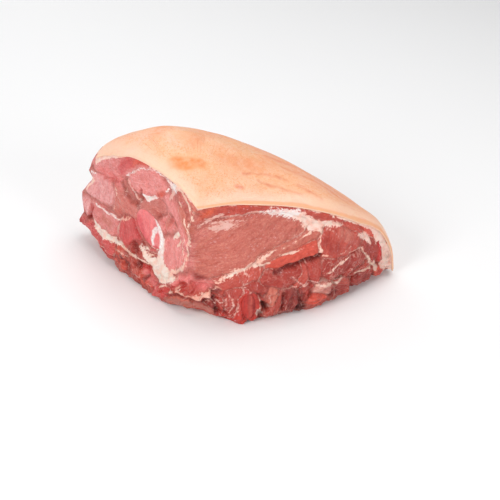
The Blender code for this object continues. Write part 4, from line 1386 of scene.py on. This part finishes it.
def mottle(tree, size, low, high, strength=1.0):
    """A blotchy mask with blotches of a size in millimetres, up to the given strength."""
    mask = place_group(tree, MOTTLE, {"Size mm": size, "Low": low, "High": high})["Mask"]
    return mask if strength == 1.0 else times(tree, mask, strength)


def wet_film(tree, grain, dry, wet):
    """The roughness and the height of a moist surface."""
    film = place_group(tree, WET_FILM, {"Grain mm": grain, "Dry": dry, "Wet": wet})
    return film["Roughness"], film["Height"]


# %% Opening and closing a material
def open_material(name):
    """A new material, its node tree and its shader."""
    material = bpy.data.materials.new(name)
    material.use_nodes = True
    tree = material.node_tree
    return material, tree, tree.nodes["Principled BSDF"]


def read_field(tree, name, output="Fac"):
    """A field that was stored on the points of the mesh."""
    return add_node(tree, "ShaderNodeAttribute", attribute_name=name).outputs[output]


def join_surface(tree, shader, colour, roughness, height, strength, depth):
    """Joins a colour, a roughness and a bump to a shader, and returns the bump's normal."""
    tree.links.new(colour, shader.inputs["Base Color"])
    tree.links.new(roughness, shader.inputs["Roughness"])
    bump = add_node(tree, "ShaderNodeBump", {"Strength": strength, "Distance": depth, "Height": height})
    tree.links.new(bump.outputs[0], shader.inputs["Normal"])
    return bump.outputs[0]


# %% [markdown]
# ## Flesh material
# Colour comes from the muscle that a point belongs to.  Fibres run along each muscle's own grain,
# small flecks and threads of fat lie between them, torn membrane hangs in pale strings near the
# foot of the cuts, and fat shows wherever the stored distance says so, with a noisy edge.  All of
# it could be painted on an image, but nodes stay sharp at any distance.  Light enters meat a
# little way, so it gets a small subsurface share, and a thin coat stands for its moisture.

# %% Colours of the flesh's small parts
MEMBRANE = srgb(238, 186, 172)
FLECK = srgb(236, 196, 200)
THREAD = srgb(232, 176, 162)
SEAM_SKIN = srgb(240, 188, 174)
DARKER = (0.86, 0.68, 0.66)
LIGHTER = (1.16, 1.42, 1.40)
TORN_DARK = (0.72, 0.42, 0.40)
# Painted highlight: the factors that whiten small glints.
PAINTED_GLINT = (1.12, 1.70, 1.75)
PIT = (0.82, 0.58, 0.56)
# Painted shade: the factors that darken the seams between muscles.
SEAM_SHADE = (0.82, 0.56, 0.54)
ROSY = (0.98, 0.78, 0.73)


# %% Flesh: fibres, and the broader bundles, glints and pits between them
def add_fibres(tree, colour, grain):
    """Bundles of fibres, lighter and darker, and the height that they make."""
    fibre = noise(tree, stretch(tree, grain, 5.0, 1.5), detail=5.0, roughness=0.7, distortion=0.4)
    colour = shade(tree, times(tree, ramp(tree, fibre, 0.5, 0.68), 0.8), colour, LIGHTER)
    colour = shade(tree, times(tree, ramp(tree, fibre, 0.5, 0.34), 0.75), colour, DARKER)
    return colour, fibre


def add_depth(tree, colour, grain, calm):
    """Broad dark bundles, painted highlights as small bright glints, and dark pits."""
    bundles = noise(tree, stretch(tree, grain, 16.0, 5.0), roughness=0.6)
    colour = shade(tree, times(tree, ramp(tree, bundles, 0.42, 0.62), 0.7), colour, DARKER)
    # Painted highlights: small pale glints, fewer where the flesh is torn.
    colour = shade(tree, times(tree, mottle(tree, 1.4, 0.50, 0.68, 0.7), calm), colour, PAINTED_GLINT)
    return shade(tree, mottle(tree, 3.4, 0.56, 0.74, 0.75), colour, PIT)


# %% Flesh: torn strings and small flecks
def add_strings(tree, colour, grain, stringy):
    """Torn membrane: thin pale strings along the grain with dark red between them."""
    strings = noise(tree, stretch(tree, grain, 7.0, 0.9), roughness=0.6, distortion=1.2)
    pale = times(tree, ramp(tree, strings, 0.56, 0.70), 0.6, stringy)
    dark = times(tree, ramp(tree, strings, 0.46, 0.32), 0.6, stringy)
    colour = shade(tree, dark, colour, TORN_DARK)
    return blend(tree, pale, colour, MEMBRANE), strings


def add_flecks(tree, colour, grain, calm):
    """Small pale flecks of fat between the bundles, gathered in loose patches."""
    inputs = {"Vector": stretch(tree, grain, 3.8, 1.3), "Scale": 1.0, "Randomness": 0.9}
    cells = add_node(tree, "ShaderNodeTexVoronoi", inputs).outputs
    dot = ramp(tree, cells["Distance"], 0.36, 0.12)
    red = add_node(tree, "ShaderNodeSeparateColor", {0: cells["Color"]}).outputs[0]
    gathered = sums(tree, "MULTIPLY_ADD", mottle(tree, 22.0, 0.42, 0.60), 0.50, 0.05)
    return blend(tree, times(tree, dot, ramp(tree, red, 0.45, 0.7), gathered, calm), colour, FLECK)


# %% Flesh: marbling, seams and fat
def add_marbling(tree, colour, place, marble):
    """Fine threads of fat: the thin lines along which a noise passes through its middle."""
    away = sums(tree, "ABSOLUTE", sums(tree, "SUBTRACT", noise(tree, place, 130.0, distortion=0.6), 0.5))
    return blend(tree, times(tree, ramp(tree, away, 0.035, 0.0), marble, 0.8), colour, THREAD)


def add_seams(tree, colour, seam, wavy):
    """The thin silvery skin between two muscles; where it is missing, the seam is darkened with painted
    shade.
    """
    # Painted shade in each seam that no silvery skin covers.
    groove = ramp(tree, sums(tree, "MULTIPLY_ADD", wavy, 0.5, seam), 1.2, 0.0)
    colour = shade(tree, times(tree, groove, 0.55), colour, SEAM_SHADE)
    skin = ramp(tree, sums(tree, "ADD", seam, wavy), 0.5, -0.1)
    strong = ramp(tree, mottle(tree, 14.0, 0.42, 0.58), 0.0, 1.0, to_low=0.05, to_high=0.8)
    return blend(tree, times(tree, skin, strong), colour, SEAM_SKIN)


def add_fat(tree, colour, fat, fat_tint, wavy):
    """Fat, with a crumbly edge, cloudy and a little pinker in places."""
    here = ramp(tree, sums(tree, "ADD", fat, wavy), -0.4, 0.5)
    rosy = blend(tree, 1.0, fat_tint, ROSY, "MULTIPLY")
    return blend(tree, here, colour, blend(tree, mottle(tree, 5.0, 0.42, 0.66), fat_tint, rosy))


# %% Flesh: its colour from all of these
def flesh_colour(tree, grain, seam, stringy):
    """The colour of the flesh, and the fibres and strings that its bump needs."""
    place = object_place(tree)
    colour, fibre = add_fibres(tree, read_field(tree, "muscle", "Color"), grain)
    crumbs = times(tree, sums(tree, "SUBTRACT", noise(tree, place, 420.0), 0.5), 2.4)
    wavy = sums(tree, "MULTIPLY_ADD", sums(tree, "SUBTRACT", fibre, 0.5), 5.0, crumbs)
    calm = ramp(tree, stringy, 0.0, 1.0, to_low=1.0, to_high=0.35)
    colour = add_depth(tree, colour, grain, calm)
    colour, strings = add_strings(tree, colour, grain, stringy)
    colour = add_flecks(tree, colour, grain, calm)
    colour = add_marbling(tree, colour, place, read_field(tree, "marble"))
    colour = add_seams(tree, colour, seam, wavy)
    fat, fat_tint = read_field(tree, "fat"), read_field(tree, "fat_tint", "Color")
    return add_fat(tree, colour, fat, fat_tint, wavy), fibre, strings


# %% Flesh material
def flesh_material():
    """Moist raw flesh: fibres, seams and strings in its colour and in its bump."""
    material, tree, shader = open_material("raw_flesh")
    grain = read_field(tree, "grain", "Vector")
    seam, stringy = read_field(tree, "seam"), read_field(tree, "stringy")
    colour, fibre, strings = flesh_colour(tree, grain, seam, stringy)
    rough, film = wet_film(tree, grain=1.2, dry=0.50, wet=0.28)
    rough = times(tree, rough, ramp(tree, stringy, 0.0, 1.0, to_low=1.0, to_high=0.78))
    height = sums(tree, "MULTIPLY_ADD", fibre, 1.4, film)
    height = sums(tree, "MULTIPLY_ADD", ramp(tree, seam, 0.0, 1.2), 0.6, height)
    height = sums(tree, "MULTIPLY_ADD", times(tree, strings, stringy), 1.4, height)
    normal = join_surface(tree, shader, colour, rough, height, strength=0.7, depth=0.0011)
    tree.links.new(normal, shader.inputs["Coat Normal"])
    shader.inputs["Subsurface Weight"].default_value = 0.15
    shader.inputs["Subsurface Radius"].default_value = (1.0, 0.30, 0.20)
    shader.inputs["Subsurface Scale"].default_value = 0.0025
    shader.inputs["Specular IOR Level"].default_value = 0.4
    shader.inputs["Coat Weight"].default_value = 0.25
    shader.inputs["Coat Roughness"].default_value = 0.15
    return material


flesh.data.materials.append(flesh_material())
print("the flesh material has", len(flesh.active_material.node_tree.nodes), "nodes")

# %% [markdown]
# ## Rind material
# A scalded rind is a smooth, matt peach with cloudy orange blotches and a few pink ones.  Faint
# streaks and hairs run round it, fine folds of the hide run aslant at its far end, and its lip
# along the long cut is pale with a thin orange rim.  Clouds, streaks, hairs, freckles and folds
# are separate layers here, because each has its own size and strength.  Pores are only a bump.

# %% Colours of the rind's small parts
CLOUD = (0.99, 0.90, 0.78)
SMEAR = (0.99, 0.86, 0.78)
STREAK = srgb(238, 158, 118)
HAIR = srgb(234, 138, 104)
FRECKLE = srgb(240, 152, 100)
BLOOM = srgb(252, 214, 188)
FOLD = srgb(236, 142, 108)
PALE_EDGE = srgb(253, 214, 190)
ORANGE_RIM = srgb(240, 164, 112)


# %% Rind: streaks and hairs that run round it
def add_streaks(tree, colour, streak):
    """Soft streaks and thin reddish hairs; also returns the streaks, for the bump."""
    lines = ramp(tree, noise(tree, stretch(tree, streak, 2.6, 4.5), detail=5.0, roughness=0.65), 0.5, 0.78)
    colour = blend(tree, times(tree, lines, 0.45), colour, STREAK)
    hairs = noise(tree, stretch(tree, streak, 0.9, 1.8), detail=2.0, distortion=0.8)
    hairs = times(tree, ramp(tree, hairs, 0.58, 0.68), mottle(tree, 30.0, 0.44, 0.56), 0.8)
    return blend(tree, hairs, colour, HAIR), lines


# %% Rind: freckles, and pale blooms between them
def add_freckles(tree, colour):
    """Small orange freckles, thicker in some parts, and soft pale blooms."""
    thick = sums(tree, "MULTIPLY_ADD", mottle(tree, 24.0, 0.40, 0.60), 0.5, 0.3)
    colour = blend(tree, times(tree, mottle(tree, 1.6, 0.50, 0.66), thick), colour, FRECKLE)
    return blend(tree, mottle(tree, 5.0, 0.45, 0.75, 0.25), colour, BLOOM)


# %% Rind: fine folds of the hide
FOLD_SLANT = 0.56
FOLD_LENGTH, FOLD_WIDTH = 0.034, 0.0030


def add_folds(tree, colour):
    """Fine reddish folds of the hide, which run aslant towards the far end of the long cut."""
    place = object_place(tree)
    turned = {"Vector": place, "Rotation": (0.0, 0.0, FOLD_SLANT)}
    aslant = add_node(tree, "ShaderNodeMapping", turned).outputs[0]
    folds = noise(tree, stretch(tree, aslant, FOLD_LENGTH, FOLD_WIDTH), detail=2.0, distortion=0.3)
    parts = add_node(tree, "ShaderNodeSeparateXYZ", {"Vector": place}).outputs
    far = times(tree, ramp(tree, parts["X"], -0.03, 0.04), ramp(tree, parts["Y"], 0.05, -0.02), 0.5)
    broken = mottle(tree, 9.0, 0.40, 0.60)
    return blend(tree, times(tree, ramp(tree, folds, 0.56, 0.68), broken, far), colour, FOLD)


# %% Rind: its lip
def add_lip(tree, colour, clouds):
    """A pale edge along both cuts, and a thin wavy orange rim along the long one."""
    pale = times(tree, ramp(tree, read_field(tree, "edge"), 16.0, 3.0), 0.6)
    colour = blend(tree, pale, colour, PALE_EDGE)
    wavy_lip = sums(tree, "MULTIPLY_ADD", clouds, 1.2, read_field(tree, "lip"))
    return blend(tree, times(tree, ramp(tree, wavy_lip, 3.2, 1.4), 0.6), colour, ORANGE_RIM)


# %% Rind material
def rind_material():
    """Matt scalded rind, cloudy and streaked, with pores as a bump."""
    material, tree, shader = open_material("scalded_rind")
    clouds = mottle(tree, 38.0, 0.40, 0.62)
    colour = shade(tree, times(tree, clouds, 0.75), read_field(tree, "rind_tint", "Color"), CLOUD)
    colour = shade(tree, mottle(tree, 11.0, 0.50, 0.72, 0.6), colour, SMEAR)
    colour, lines = add_streaks(tree, colour, read_field(tree, "streak", "Vector"))
    colour = add_folds(tree, add_freckles(tree, colour))
    colour = add_lip(tree, colour, clouds)
    rough, film = wet_film(tree, grain=1.6, dry=0.60, wet=0.42)
    pores = add_node(tree, "ShaderNodeTexVoronoi", {"Vector": object_place(tree), "Scale": 420.0})
    height = sums(tree, "MULTIPLY_ADD", ramp(tree, pores.outputs["Distance"], 0.0, 0.35), 0.5, film)
    height = sums(tree, "SUBTRACT", height, lines)
    join_surface(tree, shader, colour, rough, height, strength=0.4, depth=0.0005)
    shader.inputs["Subsurface Weight"].default_value = 0.2
    shader.inputs["Subsurface Radius"].default_value = (1.0, 0.45, 0.25)
    shader.inputs["Subsurface Scale"].default_value = 0.003
    shader.inputs["Specular IOR Level"].default_value = 0.3
    return material


rind.data.materials.append(rind_material())
print("the rind material has", len(rind.active_material.node_tree.nodes), "nodes")

# %% [markdown]
# ## Bone material
# A saw leaves spongy bone finely pitted and smeared with marrow, so it is a little rough and
# speckled, and slightly translucent.  Both bones share one material, and their own colours come
# from the points of each mesh.

# %% Bone material
SPECKLE = (0.90, 0.74, 0.76)
BONE_PALE = (1.06, 1.35, 1.32)


def bone_material():
    """A sawn face: its stored tint, speckled and clouded."""
    material, tree, shader = open_material("sawn_bone")
    colour = shade(tree, mottle(tree, 2.2, 0.45, 0.62), read_field(tree, "bone_tint", "Color"), SPECKLE)
    colour = shade(tree, mottle(tree, 9.0, 0.45, 0.70, 0.8), colour, BONE_PALE)
    rough, film = wet_film(tree, grain=0.9, dry=0.55, wet=0.35)
    join_surface(tree, shader, colour, rough, film, strength=0.6, depth=0.0006)
    shader.inputs["Subsurface Weight"].default_value = 0.2
    shader.inputs["Subsurface Radius"].default_value = (1.0, 0.35, 0.3)
    shader.inputs["Subsurface Scale"].default_value = 0.003
    return material


SAWN_BONE = bone_material()
arm_bone.data.materials.append(SAWN_BONE)
rib_bone.data.materials.append(SAWN_BONE)
print("both bones have the material", SAWN_BONE.name)

# %% [markdown]
# ## Fitting the pieces to the frame
# The meat is one solid in the imported model, but its flesh and its rind have different finishes, so
# two pieces stand for it.  Each piece is listed with what it rides on, which node of the imported
# model it replaces, and which slot its finish belongs to.

# %% The pieces and what they stand for
for piece, node, slot in (
    (flesh, "pork_shoulder", "raw_meat"),
    (rind, "pork_shoulder", "raw_meat"),
    (arm_bone, "arm_bone", "cut_bone"),
    (rib_bone, "rib_bone", "cut_bone"),
):
    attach(piece, "root")
    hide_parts(node)
    print(piece.name, "stands for", node)
